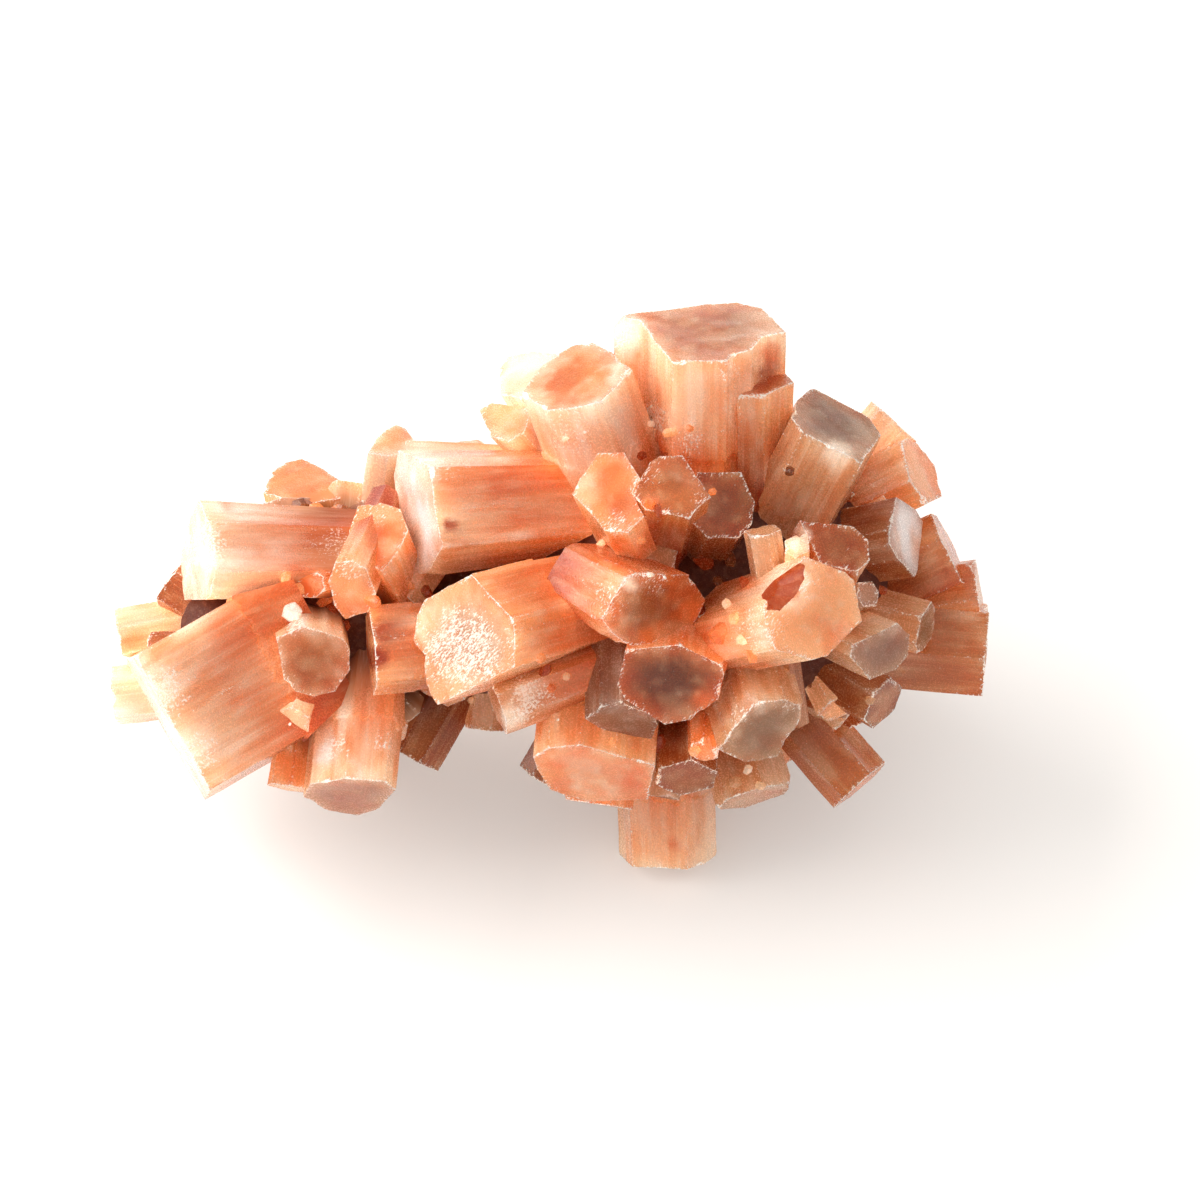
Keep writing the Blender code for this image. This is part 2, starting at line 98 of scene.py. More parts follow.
# Crystals whose ends are seen: heading of the axis on the drawing (0 to the right, 90 upward), its
# tilt away from the eye, depth of the end, and the end's outline on the grid.
SEEN_ENDS = {
    "top": (90, 66, 116, (
        (614, 316), (640, 320), (656, 343), (672, 361), (727, 361), (735, 353), (752, 349),
        (762, 337), (786, 332), (762, 308), (737, 302), (700, 305), (650, 312))),
    "top_ledge": (90, 66, 125, (
        (731, 388), (738, 396), (765, 396), (780, 388), (794, 382), (783, 370), (764, 368), (755, 380))),
    "upper_left": (110, 57, 130, (
        (521, 393), (540, 367), (556, 355), (575, 345), (592, 342), (612, 352), (632, 368), (618, 385),
        (600, 402), (575, 408), (548, 411))),
    "cream_back": (122, 66, -50, (
        (500, 394), (499, 369), (508, 357), (532, 351), (556, 354), (545, 380), (521, 398))),
    "upper_left_back": (132, 48, 0, (
        (479, 410), (498, 399), (518, 399), (530, 412), (524, 434), (508, 442), (490, 436))),
    "left_beam": (184, 72, 100, (
        (398, 450), (418, 458), (430, 467), (435, 510), (441, 548), (427, 577), (417, 573), (407, 540),
        (398, 505), (394, 475))),
    "front_left": (195, 45, 215, (
        (471, 574), (497, 603), (512, 618), (515, 632), (515, 667), (452, 698), (437, 705), (426, 688),
        (424, 656), (413, 641), (417, 615), (424, 600), (448, 586))),
    "centre": (330, 45, 235, (
        (600, 623), (612, 600), (626, 578), (636, 573), (690, 575), (706, 600), (698, 617), (684, 640),
        (650, 644), (622, 647), (610, 641))),
    "above_centre": (115, 25, 240, (
        (580, 478), (598, 453), (624, 452), (640, 478), (632, 492), (644, 516), (628, 533), (604, 530),
        (590, 512), (572, 494))),
    "dark_above": (80, 25, 235, (
        (641, 478), (650, 462), (660, 456), (682, 455), (700, 480), (711, 497), (697, 508), (690, 519),
        (660, 512), (646, 510), (633, 494))),
    "dark_behind": (60, 20, 200, (
        (698, 472), (741, 472), (755, 502), (752, 524), (739, 538), (708, 538), (690, 520), (692, 490))),
    "brown_right": (60, 30, 190, (
        (800, 520), (853, 526), (868, 540), (870, 560), (862, 575), (820, 563))),
    "right_front": (15, 35, 262, (
        (805, 556), (815, 560), (845, 572), (854, 580), (862, 621), (828, 656), (812, 660), (775, 650),
        (765, 632), (764, 605))),
    "white_end": (10, 65, 60, (
        (897, 497), (916, 510), (925, 525), (922, 560), (915, 577), (900, 560), (892, 545), (889, 530))),
    "grey_right": (335, 50, 160, (
        (850, 657), (852, 645), (870, 637), (898, 623), (910, 635), (908, 655), (895, 670), (870, 680))),
    "grey_top": (63, 62, 110, (
        (812, 387), (862, 413), (885, 430), (862, 463), (803, 433), (791, 418), (797, 400))),
    "grey_low": (285, 40, 215, (
        (727, 738), (740, 715), (748, 704), (785, 700), (805, 708), (802, 720), (777, 757), (745, 762),
        (718, 750))),
    "dark_low": (250, 28, 215, (
        (625, 650), (680, 645), (722, 665), (724, 675), (718, 700), (690, 720), (665, 725), (625, 700),
        (617, 685))),
    "slab": (270, 60, 165, (
        (585, 720), (600, 707), (620, 703), (655, 715), (658, 725), (650, 743), (615, 735), (598, 728))),
    "orange_low": (265, 58, 130, (
        (533, 757), (548, 748), (580, 745), (615, 755), (655, 765), (648, 800), (600, 806), (550, 790),
        (537, 770))),
    "far_left_top": (180, 74, 70, (
        (199, 500), (208, 522), (211, 548), (214, 572), (208, 600), (184, 600), (181, 560), (188, 522))),
    "far_left_low": (210, 82, 45, (
        (125, 660), (135, 655), (172, 722), (210, 790), (205, 800), (165, 732))),
    "left_facing": (285, 22, 130, (
        (276, 638), (290, 632), (303, 625), (328, 628), (343, 633), (350, 652), (350, 670), (335, 692),
        (314, 697), (296, 692), (284, 680))),
    "left_orange": (110, 42, 112, (
        (349, 530), (358, 506), (380, 502), (400, 508), (408, 530), (398, 553), (388, 573), (366, 563),
        (347, 556))),
    "left_small": (250, 35, 145, (
        (328, 582), (335, 562), (352, 558), (366, 568), (376, 594), (368, 612), (345, 620), (334, 606))),
    "left_speck": (180, 35, 108, (
        (297, 576), (312, 566), (322, 572), (326, 590), (315, 598), (298, 598))),
    "left_back_top": (97, 62, -85, (
        (263, 492), (272, 472), (284, 462), (302, 458), (322, 468), (346, 484), (340, 498), (300, 504))),
    "left_back_peak": (80, 62, -40, (
        (368, 452), (376, 439), (386, 429), (396, 424), (406, 428), (416, 442), (406, 451), (388, 456))),
    "left_bottom": (265, 71, 70, (
        (303, 797), (310, 785), (345, 778), (385, 782), (396, 790), (380, 808), (355, 816), (330, 812))),
}

# Crystals that end sooner than the centre of growth, because they stand on a neighbour: their length
SHORT = {"centre": 100, "knob": 40, "crumb": 60, "far_left_top": 160}

# Growth ledges, where a crystal steps in or out: distance below its end, width beyond the step
LEDGES = {
    "top": (104, 0.93),
    "upper_left": (70, 1.03),
    "orange_low": (46, 0.95),
    "far_left_top": (120, 0.92),
    "far_left_low": (110, 1.04),
    "left_bottom": (64, 1.05),
    "grey_top": (90, 0.94),
    "grey_low": (52, 1.05),
    "bottom": (70, 0.94),
    "right_lower": (84, 1.05),
}
LEDGE_DROP = 4  # squares that a ledge's slope takes

# Crystals seen from the side or half hidden: across, down and depth of the end's middle, heading,
# tilt, half width of the end, and how far the crystal is rolled about its axis.
SIDE_ON = {
    "behind_beam": (405, 461, -40, 178, 95, 21, 15),
    "behind_beam_top": (467, 443, -50, 95, 78, 17, 5),
    "pale_sliver": (403, 598, 75, 235, 82, 21, 0),
    "lower_left": (497, 706, 150, 200, 80, 28, 10),
    "cream_between": (655, 552, 180, 60, 25, 24, 0),
    "striated": (762, 530, 215, 100, 72, 19, 0),
    "grey_small": (868, 594, 150, 20, 45, 15, 0),
    "right_upper": (950, 548, -10, 24, 80, 42, 12),
    "right_middle": (980, 596, -30, 8, 82, 38, 20),
    "right_lower": (985, 648, -30, 355, 88, 46, 25),
    "top_right": (922, 472, 0, 25, 65, 38, 20),
    "top_right_back": (893, 420, -45, 48, 86, 30, 0),
    "dark_speck_low": (745, 664, 170, 300, 35, 18, 0),
    "dark_speck_mid": (702, 628, 180, 290, 25, 15, 0),
    "brown_mid": (685, 778, 120, 270, 50, 30, 0),
    "orange_speck": (703, 752, 170, 270, 35, 16, 0),
    "grey_body_low": (752, 798, 20, 287, 76, 40, 0),
    "bottom": (670, 858, -90, 272, 102, 50, 0),
    "low_right": (860, 786, -40, 311, 82, 33, 0),
    "right_under": (884, 703, 70, 330, 60, 28, 0),
    "low_left_dark": (553, 786, -10, 240, 92, 38, 0),
    "under_orange": (596, 804, 30, 262, 88, 34, 0),
    "far_left_back": (119, 634, -50, 190, 88, 27, 0),
    "far_left_pale": (115, 695, -70, 185, 92, 31, 0),
    "left_glint": (292, 722, 110, 250, 45, 19, 0),
    "left_corner": (288, 788, 20, 262, 80, 22, 0),
    "banded": (371, 650, 118, 185, 82, 46, 0),
    "under_neck": (414, 758, -30, 240, 92, 27, 0),
    "knob": (724, 630, 205, 200, 50, 13, 0),
    "crumb": (797, 546, 225, 95, 35, 13, 10),
}

# The crystals that carry the cluster: across, down and depth of the end, and half width. They reach
# a little below the ground, which cuts them flat.
FEET = {
    "foot_left": (322, 742, -216, 34),
    "foot_back": (800, 640, -300, 38),
}

# The hidden back and underside, filled by a spiral of crystals around each centre
BACK = (
    # centre, crystals round the whole ball, reach, rim limit, least and greatest half width
    (MAIN_CENTRE, 62, 262, 178, 30, 50),
    (LEFT_CENTRE, 40, 205, 118, 26, 42),
)
BACK_REACH = (0.86, 1.0)  # their least and greatest reach, against the full one
BACK_STRAY = 0.10  # how far their axes stray from an even spiral
BACK_DEPTH = -0.18  # a crystal belongs to the back where its axis points this far from the eye
GROUND_ROOM = 222  # squares that a crystal of the back may reach down

# Young crystals that cover the lumps between the large ones: how many round each lump, their least and
# greatest reach against the lump's radius, and their least and greatest half width
YOUNG = (34, (1.10, 1.36), (17, 30))
YOUNG_STRAY = 0.16
# None of them points nearer the eye than this, but those that point down the drawing may: by how much
YOUNG_DEPTH = 0.25
YOUNG_LOW = 0.6
YOUNG_LENGTH = 0.55  # against their reach
SEED = 7

# The rough hollow in the end of the right front crystal: its two ends on the grid, half width, depth
HOLLOW = ((800, 569), (771, 604), 15, 26)
HOLLOW_STEPS = 6  # points between two places of its rim
HOLLOW_ROUNDS = 5  # rings of points from its mouth to its bottom
HOLLOW_TAPER = 0.6  # how much narrower its bottom is
HOLLOW_ABOVE = 12  # squares that its cutter stands out
HOLLOW_RAG = (0.14, 2.2)  # how far its wall wanders, against its width, and in how many points
# The hollow's ragged rim: places along it, and half widths to the side
HOLLOW_RIM = ((-0.2, 0), (0, 0.7), (0.5, 1.0), (1, 0.8), (1.2, 0), (1, -0.7), (0.5, -0.8), (0, -0.8))

# Corners knocked off the crystals' ends: how many each has at most, and their size in squares
MOST_CHIPS = 2
CHIP = (3, 9)
CHIP_LEAN = (0.4, 1.2)  # how far a chip's flat leans toward the end
TWIN_SIDES = (0.80, 1.0)  # how near a twin's sides lie to its axis, against its half width

# The lumps: how big they are against their radius, and their grit, as heights and widths
LUMP_SIZE = 0.95
LUMP_SPLITS = 5
LUMP_GRIT = ((4, 17), (2, 6))
SLAB_WIDTH = LENGTH * 4  # of the slab that cuts the feet flat

TINY = 1e-9  # stands for zero where something is divided by it
SAME_POINT = 1e-5  # squares within which two points of an end are one
INSIDE_RIM = 1  # asks the triangulation for what lies inside the rim alone
FARTHEST_SHIFT = 500  # squares from the noise's zero at which a crystal takes its own stretch of it

# How finely a crystal is built, in squares: along its outline, and across its end
FINE = (3.6, 5.0)  # crystals toward the eye
COARSE = (6.5, 9.0)  # crystals of the back
# Stations down a crystal's side, in squares below its end, where rings of points go round it
STATIONS = (4, 9, 16, 25, 36, 49, 64, 82, 104, 130, 160, 195)

# Colours of the stone, as red, green, blue from 0 to 255
PALETTE = {
    "white": (252, 244, 234),
    "cream": (252, 228, 202),
    "peach": (248, 196, 152),
    "apricot": (242, 166, 112),
    "orange": (234, 132, 74),
    "deep": (220, 112, 58),
    "rust": (160, 66, 30),
    "copper": (190, 104, 54),
    "brown": (154, 84, 44),
    "umber": (120, 62, 32),
    "dark": (84, 34, 16),
    "tan": (208, 150, 108),
    "grey": (180, 146, 122),
    "smoke": (140, 104, 78),
    "mauve": (142, 98, 76),
    # Painted reflection: the pale sheen of ends that mirror the bright room and the window
    "painted_sheen": (236, 226, 222),
}

# The colours of each crystal: its end, its side below the end, and its side toward the root. Some hold
# painted light and shade, as noted at them.
LOOKS = {
    "top": ("brown", "peach", "orange"),
    "top_ledge": ("rust", "apricot", "rust"),
    "upper_left": ("orange", "cream", "apricot"),
    "cream_back": ("cream", "cream", "peach"),
    "upper_left_back": ("apricot", "peach", "tan"),
    # Painted reflection: its pale end mirrors the window
    "left_beam": ("painted_sheen", "peach", "orange"),
    "front_left": ("tan", "apricot", "orange"),
    # Partly painted shade: its copper end is partly the dark interior seen through it
    "centre": ("copper", "orange", "rust"),
    "above_centre": ("orange", "apricot", "orange"),
    "dark_above": ("copper", "copper", "rust"),
    # Painted shade: its browns stand for a crystal in shade, deep among the others
    "dark_behind": ("brown", "brown", "umber"),
    "brown_right": ("brown", "copper", "rust"),
    "right_front": ("apricot", "peach", "orange"),
    # Painted reflection: its pale end mirrors the bright room
    "white_end": ("painted_sheen", "brown", "umber"),
    # Painted reflection: its mauve end stands for the bright room mirrored in it
    "grey_right": ("mauve", "tan", "brown"),
    # Partly painted shade: the dark ends of these four are partly the dark interior seen through them
    "grey_top": ("smoke", "tan", "copper"),
    "grey_low": ("smoke", "tan", "brown"),
    "dark_low": ("umber", "orange", "rust"),
    "slab": ("mauve", "mauve", "brown"),
    "orange_low": ("orange", "apricot", "copper"),
    # Painted light: the cream end and side of far_left_top and the white end of far_left_low are the pale
    # of faces toward the window
    "far_left_top": ("cream", "cream", "orange"),
    "far_left_low": ("white", "peach", "deep"),
    # Partly painted shade: its copper end is partly the dark interior seen through it
    "left_facing": ("copper", "peach", "rust"),
    "left_orange": ("orange", "apricot", "deep"),
    "left_small": ("apricot", "apricot", "rust"),
    "left_speck": ("orange", "apricot", "rust"),
    "left_back_top": ("orange", "apricot", "brown"),
    "left_back_peak": ("apricot", "cream", "peach"),
    "left_bottom": ("brown", "peach", "orange"),
    "behind_beam": ("cream", "cream", "peach"),
    "behind_beam_top": ("apricot", "orange", "deep"),
    "pale_sliver": ("cream", "peach", "rust"),
    "lower_left": ("tan", "tan", "deep"),
    "cream_between": ("tan", "tan", "rust"),
    "striated": ("tan", "tan", "brown"),
    "grey_small": ("grey", "grey", "brown"),
    "right_upper": ("copper", "copper", "umber"),
    "right_middle": ("tan", "copper", "brown"),
    "right_lower": ("copper", "copper", "brown"),
    "top_right": ("apricot", "apricot", "rust"),
    "top_right_back": ("apricot", "peach", "orange"),
    "dark_speck_low": ("umber", "umber", "dark"),
    "dark_speck_mid": ("rust", "rust", "dark"),
    "brown_mid": ("brown", "brown", "umber"),
    "orange_speck": ("orange", "orange", "rust"),
    "grey_body_low": ("tan", "tan", "brown"),
    "bottom": ("tan", "peach", "orange"),
    "low_right": ("orange", "copper", "brown"),
    "right_under": ("brown", "brown", "umber"),
    # Painted shade: its browns stand for a crystal in shadow underneath
    "low_left_dark": ("brown", "brown", "umber"),
    "under_orange": ("tan", "orange", "brown"),
    "far_left_back": ("peach", "peach", "apricot"),
    # Painted light: its cream is the pale of faces toward the window
    "far_left_pale": ("cream", "cream", "peach"),
    "left_glint": ("peach", "peach", "rust"),
    "left_corner": ("peach", "apricot", "orange"),
    "banded": ("apricot", "apricot", "rust"),
    # Painted shade: its browns stand for a crystal in shadow underneath
    "under_neck": ("brown", "brown", "umber"),
    "knob": ("deep", "deep", "rust"),
    "crumb": ("cream", "peach", "tan"),
    "foot_left": ("brown", "tan", "brown"),
    "foot_back": ("brown", "tan", "brown"),
}
# What the crystals of the hidden back are like
BACK_LOOKS = (
    ("brown", "apricot", "rust"),
    ("orange", "peach", "orange"),
    ("tan", "tan", "brown"),
    ("smoke", "tan", "rust"),
    ("apricot", "peach", "deep"),
    ("mauve", "tan", "brown"),
    ("brown", "brown", "umber"),
)

# Marks that the eye sees on the crystals, stains and pale zones and also painted light and shade: across,
# down, radius, colour, strength
STAINS_AND_PAINTED_LIGHT = {
    "left_beam": (
        (505, 484, 24, "deep", 0.6), (548, 508, 28, "deep", 0.6), (455, 552, 34, "grey", 0.5),
        # Painted highlight: the white spot at 425, 470 on the end toward the window
        (450, 525, 8, "rust", 1.0), (520, 545, 22, "peach", 0.5), (425, 470, 20, "white", 0.8),
        (500, 462, 9, "cream", 0.6), (560, 560, 24, "orange", 0.6)),
    "top": (
        # Painted highlight: the white spot at 624, 335
        (770, 352, 13, "deep", 0.9), (624, 335, 22, "white", 0.8), (768, 374, 14, "rust", 0.9),
        (680, 400, 40, "peach", 0.5), (700, 330, 34, "copper", 0.6), (650, 430, 14, "cream", 0.6)),
    "upper_left": (
        (624, 375, 18, "cream", 0.7), (565, 378, 28, "copper", 0.6), (600, 440, 22, "apricot", 0.5)),
    "front_left": (
        (432, 625, 26, "peach", 0.7), (470, 645, 42, "grey", 0.6), (565, 600, 34, "deep", 0.6),
        (455, 680, 22, "peach", 0.5)),
    "centre": (
        # Painted shade: the umber spot, the dark interior seen through the end
        (648, 604, 28, "umber", 0.55), (692, 612, 16, "orange", 0.9), (630, 584, 9, "cream", 0.9),
        (606, 618, 22, "orange", 0.6), (655, 636, 16, "deep", 0.6)),
    "above_centre": ((586, 490, 17, "peach", 0.7), (620, 510, 15, "copper", 0.5)),
    "dark_above": ((652, 503, 9, "deep", 1.0), (672, 478, 16, "brown", 0.6)),
    # Painted shade: the umber spot
    "dark_behind": ((724, 505, 24, "umber", 0.6),),
    "right_front": (
        (790, 586, 30, "cream", 0.7), (788, 588, 15, "deep", 1.0), (750, 622, 20, "orange", 0.5),
        (838, 640, 18, "orange", 0.5), (815, 612, 26, "apricot", 0.5)),
    # Painted shade: the dark spot
    "dark_low": ((670, 678, 26, "dark", 0.55), (704, 700, 14, "deep", 0.7)),
    "grey_low": ((762, 732, 22, "smoke", 0.6),),
    "orange_low": ((596, 775, 34, "peach", 0.5), (640, 792, 14, "deep", 0.5)),
    "far_left_low": (
        # Painted highlight: the cream spot at 150, 690 on the end toward the window
        (150, 690, 36, "cream", 0.9), (236, 660, 34, "deep", 0.7), (195, 745, 22, "cream", 0.6),
        (262, 700, 28, "deep", 0.6), (190, 640, 26, "peach", 0.7)),
    "far_left_top": (
        # Painted highlight: the cream spot at 212, 560 on the end toward the window
        (212, 560, 24, "cream", 0.8), (272, 504, 9, "deep", 0.8), (228, 504, 9, "deep", 0.7),
        (318, 545, 28, "orange", 0.6)),
    # Painted reflection: the white spot on the facet toward the window
    "left_facing": ((312, 665, 26, "brown", 0.5), (293, 615, 15, "white", 0.9)),
    "left_bottom": (
        # Painted highlights: the white spot at 325, 755 and the cream one at 345, 708
        (325, 755, 13, "white", 0.8), (345, 708, 13, "cream", 0.8), (350, 800, 26, "copper", 0.6)),
    "banded": ((385, 632, 17, "rust", 1.0), (376, 658, 15, "rust", 1.0), (360, 690, 16, "cream", 0.6)),
    "lower_left": (
        (532, 690, 18, "cream", 0.9), (600, 655, 30, "deep", 0.7), (512, 715, 16, "cream", 0.7)),
    "bottom": ((676, 845, 8, "deep", 0.7), (640, 850, 20, "peach", 0.5)),
    "grey_top": ((838, 455, 18, "cream", 0.6),),
    "right_lower": ((965, 604, 9, "rust", 0.8),),
    # Painted highlight: the white spot
    "brown_right": ((802, 533, 10, "white", 0.7),),
}
# Where white dust and broken grains lie on the crystals: across, down, radius, strength
DUST = {
    "front_left": ((462, 650, 52, 1.0),),
    "centre": ((608, 600, 26, 0.6), (655, 580, 20, 0.6)),
    "above_centre": ((616, 524, 16, 0.8),),
    "dark_above": ((652, 474, 16, 0.5), (700, 500, 12, 0.6)),
    "right_front": ((762, 628, 36, 0.6), (792, 584, 26, 0.7)),
    "lower_left": ((530, 694, 26, 1.1), (520, 715, 14, 1.0)),
    "upper_left": ((572, 434, 34, 0.6),),
    "top": ((652, 420, 22, 1.1), (620, 338, 20, 0.8), (690, 442, 22, 0.8), (730, 372, 20, 0.6)),
    "top_ledge": ((760, 372, 14, 0.6),),
    "far_left_top": ((206, 545, 30, 1.0), (330, 545, 26, 0.7), (270, 500, 20, 0.5)),
    "far_left_low": ((160, 692, 34, 1.0), (200, 752, 26, 0.8)),
    "left_facing": ((290, 622, 14, 1.0),),
    "left_bottom": ((332, 745, 18, 1.0), (385, 745, 14, 0.8)),
    "banded": ((350, 640, 18, 0.8), (380, 700, 18, 0.7)),
    "grey_low": ((740, 716, 14, 0.7), (790, 706, 12, 0.6)),
    "left_beam": ((410, 472, 20, 0.6), (450, 464, 24, 0.6), (560, 545, 20, 0.6)),
    "left_small": ((350, 570, 16, 0.8),),
    "left_orange": ((372, 515, 18, 0.6),),
}
# Painted shade: the stone is painted darker toward the centres of growth, deep among the crystals where
# the recesses lie: distances from them, in squares
SHADE_WITHIN = (152, 98)

# Small broken bits and young crystals that sit on the cluster where the eye sees them: across, down,
# half width in squares, colour. The tiny white ones are partly white specks of dust and partly painted
# glints, and the large white one at 292, 612 is a painted reflection on a facet toward the window.
CRUMBS_AND_GLINTS = (
    # The tiny white crumbs here and below are partly dust and partly painted glints
    (650, 424, 4, "cream"), (671, 432, 5, "apricot"), (690, 428, 4, "orange"), (652, 406, 1.6, "white"),
    (566, 438, 3, "cream"), (585, 432, 1.6, "white"), (612, 530, 1.6, "white"), (600, 545, 4, "peach"),
    (640, 540, 5, "apricot"), (650, 505, 6, "deep"), (658, 511, 4, "rust"), (712, 492, 4, "orange"),
    (722, 632, 10, "deep"), (735, 618, 7, "apricot"), (742, 640, 6, "peach"), (728, 606, 5, "peach"),
    (752, 655, 5, "orange"), (797, 545, 7, "cream"), (806, 538, 5, "cream"), (790, 556, 5, "peach"),
    # Painted reflection: the white crumb at 292, 612 stands for a facet mirroring the window
    (292, 612, 11, "white"), (545, 672, 6, "rust"), (552, 688, 5, "deep"), (540, 658, 5, "orange"),
    (566, 676, 4, "peach"), (558, 720, 1.6, "white"), (650, 575, 3, "cream"), (664, 577, 1.6, "white"),
    (680, 645, 1.6, "white"), (710, 742, 8, "orange"), (695, 750, 6, "apricot"), (748, 770, 5, "cream"),
    (735, 782, 7, "tan"), (760, 786, 5, "peach"), (290, 724, 1.6, "white"), (300, 712, 4, "peach"),
    (325, 600, 6, "orange"), (345, 625, 6, "rust"), (372, 600, 7, "orange"), (300, 590, 7, "apricot"),
    (285, 575, 6, "apricot"), (425, 590, 6, "rust"), (410, 585, 4, "apricot"), (470, 700, 4, "peach"),
    (704, 560, 8, "rust"), (730, 560, 7, "umber"), (745, 585, 6, "rust"), (718, 580, 6, "umber"),
    (870, 700, 5, "tan"), (880, 590, 5, "rust"), (865, 610, 6, "brown"), (640, 455, 5, "rust"),
    (790, 470, 5, "umber"), (612, 742, 4, "apricot"), (660, 745, 6, "rust"),
)
WILD_CRUMBS = 260  # more of them, scattered low between the crystals on every side
WILD_REACH = 118  # how far from the centres they may sit, in squares
WILD_FROM = 400  # how far from the centres the search for their places starts, in squares
WILD_WIDTH = (4, 10)  # half width, in squares
WILD_COLOURS = ("rust", "deep", "orange", "brown", "copper", "umber")
WILD_GROUND = 0.001  # metres above the ground that stay free of them
# A crumb's shape: how far it leans, its height against its half width, its rows as height and width,
# and how uneven they are
CRUMB_LEAN = 0.6
CRUMB_HEIGHT = (0.8, 1.8)
CRUMB_ROWS = ((-0.8, 1.0), (0.55, 0.95), (1.0, 0.62))
CRUMB_UNEVEN = (0.8, 1.12)
CRUMB_TILT = 0.16

# Painted glow: the side's colour painted in from the rim of an end, for light that comes in through the
# sides:
# how far, against its half width, how fully, how fast it fades, and the share of the root's colour in it
RIM_GLOW = 0.55
GLOW_MOST = 0.6
GLOW_FADE = 1.5
GLOW_ROOT = 0.3

# Cloudy veils and iron stains: how often they turn in a square across a crystal and along it, where
# they begin and are full, and what they take from red, green and blue
VEILS = (
    (0.035, 0.016, 0.46, 0.74, (0.08, 0.24, 0.32)),
    (0.021, 0.012, 0.48, 0.66, (0.05, 0.28, 0.40)),
)
# Milky clouds, likewise, with their share at their fullest, and the power that makes a colour milky
MILK = (
    (0.028, 0.020, 0.52, 0.70, 0.5),
    (0.090, 0.060, 0.55, 0.78, 0.5),
)
MILKY = 0.55
# How strong the clouds' broad and fine ripples are, and how much finer the fine ones
CLOUD_BROAD = 0.4
CLOUD_FINE = 0.2
CLOUD_FINER = 2.3
# How far a mark's edge wanders, against its radius, and in how many squares; where the mark is full and
# where it ends, against its radius
SPOT_STRAY = (0.35, 9)
SPOT_EDGE = (0.45, 1.15)

# Dust on the rims of the ends and on the edges between the sides: how much, and how many squares it
# reaches; and how far down the crystal the edges are worn
RIM_DUST, RIM_WEAR = 0.9, 3.0
EDGE_DUST, EDGE_WEAR = 0.7, 2.2
WORN_EDGE = 120

# Relief of the ends, each a height and a width in squares: gentle waves, terraces, and grain, which is
# coarser on some crystals
END_WAVE = (0.6, 28)
END_TERRACE = (0.8, 34)
TERRACE_SHARE = 0.6  # of a terrace's height that the end keeps
TERRACES = 2.2  # how many a wave has, about
TERRACE_RAG = (0.3, 9)
TERRACE_SLOPE = (0.42, 0.58)
GRAIN_WIDTH = 4.5
GRAIN = 0.12
ROUGH_ENDS = {"front_left": 1.1, "right_front": 0.6, "crumb": 1.5, "knob": 1.5}
# Relief of the rims and sides, likewise: chips, wear, broad and fine grooves, and lumps
RIM_CHIP = (9, 16)
RIM_SOUND = 0.28  # how much of the rim's ripple leaves it unchipped
RIM_ROUND = 0.45
RIM_ROUGH = (0.6, 6)
BROAD_GROOVE = (1.5, 19)
FINE_GROOVE = (0.7, 6.5)
SIDE_LUMP = (0.5, 25)
GROOVE_CLEAR = 9  # squares from a corner where grooves reach their full depth
LUMPS_FROM = (3, 20)  # squares below the end where lumps begin and where they are full
GROOVE_TURN = 140  # squares down the crystal in which its grooves wander
# Crystals without a ledge of their own: how many get one, how deep it lies, and how far it steps
LEDGE_SHARE = 0.6
LEDGE_DEPTHS = (30, 100)
LEDGE_STEPS = (0.965, 0.975, 1.02)
LEDGE_ROOM = 20  # squares above and below a ledge that are kept free of other rings
LEDGE_LIMIT = 0.75  # of the crystal's length, beyond which a ledge is left out
LEDGE_RAG = ((11, 15), (5, 5))  # how a ledge's line wanders, broadly and finely
ROOT_ROOM = 8  # squares above the root that are kept free of rings
# Points on an end: how far they stray, how far apart their rows lie, and how clear of the rim they
# stay, against their spacing
CAP_STRAY = 0.25
CAP_ROW = 0.87
CAP_CLEAR = 0.45
SHARPEST = 0.5  # keeps the rim's wear at a very sharp corner from running far inward
SHOULDER = 1.2  # how far a rim's wear reaches down the side, against how far it reaches in
SHOULDER_FADE = 40  # squares below the end where the sides forget the end's relief
# Where the side's colour starts to turn into the root's, and how far that takes, in squares
SIDE_COLOUR = (12, 95)

# The stone's fine textures: how often each turns in a square, across a crystal both ways and along it
FIBRES = (0.75, 0.75, 0.02)
BANDS = (0.16, 0.16, 0.007)
SPECKS = (0.6, 0.6, 0.6)
GRAINS = (0.22, 0.6, 0.36)
# Where in those textures each mark begins and where it is full
PALE_BAND = (0.52, 0.72)
PALE_FIBRE = (0.55, 0.8)
GROOVE_BAND = (0.46, 0.3)
DUST_GRAIN = (0.71, 0.79)
BROKEN_SPECK = (0.34, 0.54)
ROUGH_SPECK = (0.35, 0.7)
# How strongly they show: pale streaks and the bands' share in them, grooves and their tint, dust grains
# and how much more of them there are where dust lies, and broken rims
STREAKED = 0.4
BAND_SHARE = 0.55
GROOVED = 0.32
GROOVE_TINT = (0.80, 0.56, 0.40, 1)
DUSTY = 0.8
DUST_HELP = 0.25
BROKEN = 0.95
# Roughness of the cleanest faces, and what specks, recesses and dust add to it
SMOOTHEST = 0.12
SPECK_ROUGHER = 0.2
RECESS_ROUGHER = 0.6
DUST_ROUGHER = 0.2
# The bump's height on clean stone, and what dust adds to it
PLAIN_HEIGHT = 0.5
DUSTY_HEIGHT = 2.5
# How the stone bends light, shines, glows inside and lets light through
STONE = {
    "IOR": 1.6,
    "Specular IOR Level": 0.2,
    "Subsurface Weight": 1.0,
    "Subsurface Radius": (1.0, 0.62, 0.44),
    "Subsurface Scale": 0.0036,
    "Transmission Weight": 0.22,
}
BUMP = {"Strength": 0.3, "Distance": 0.0001}
ABSORPTION = {"Color": (0.93, 0.52, 0.26, 1), "Density": 120.0}
SHARP = 24  # degrees between faces, above which their edge stays sharp

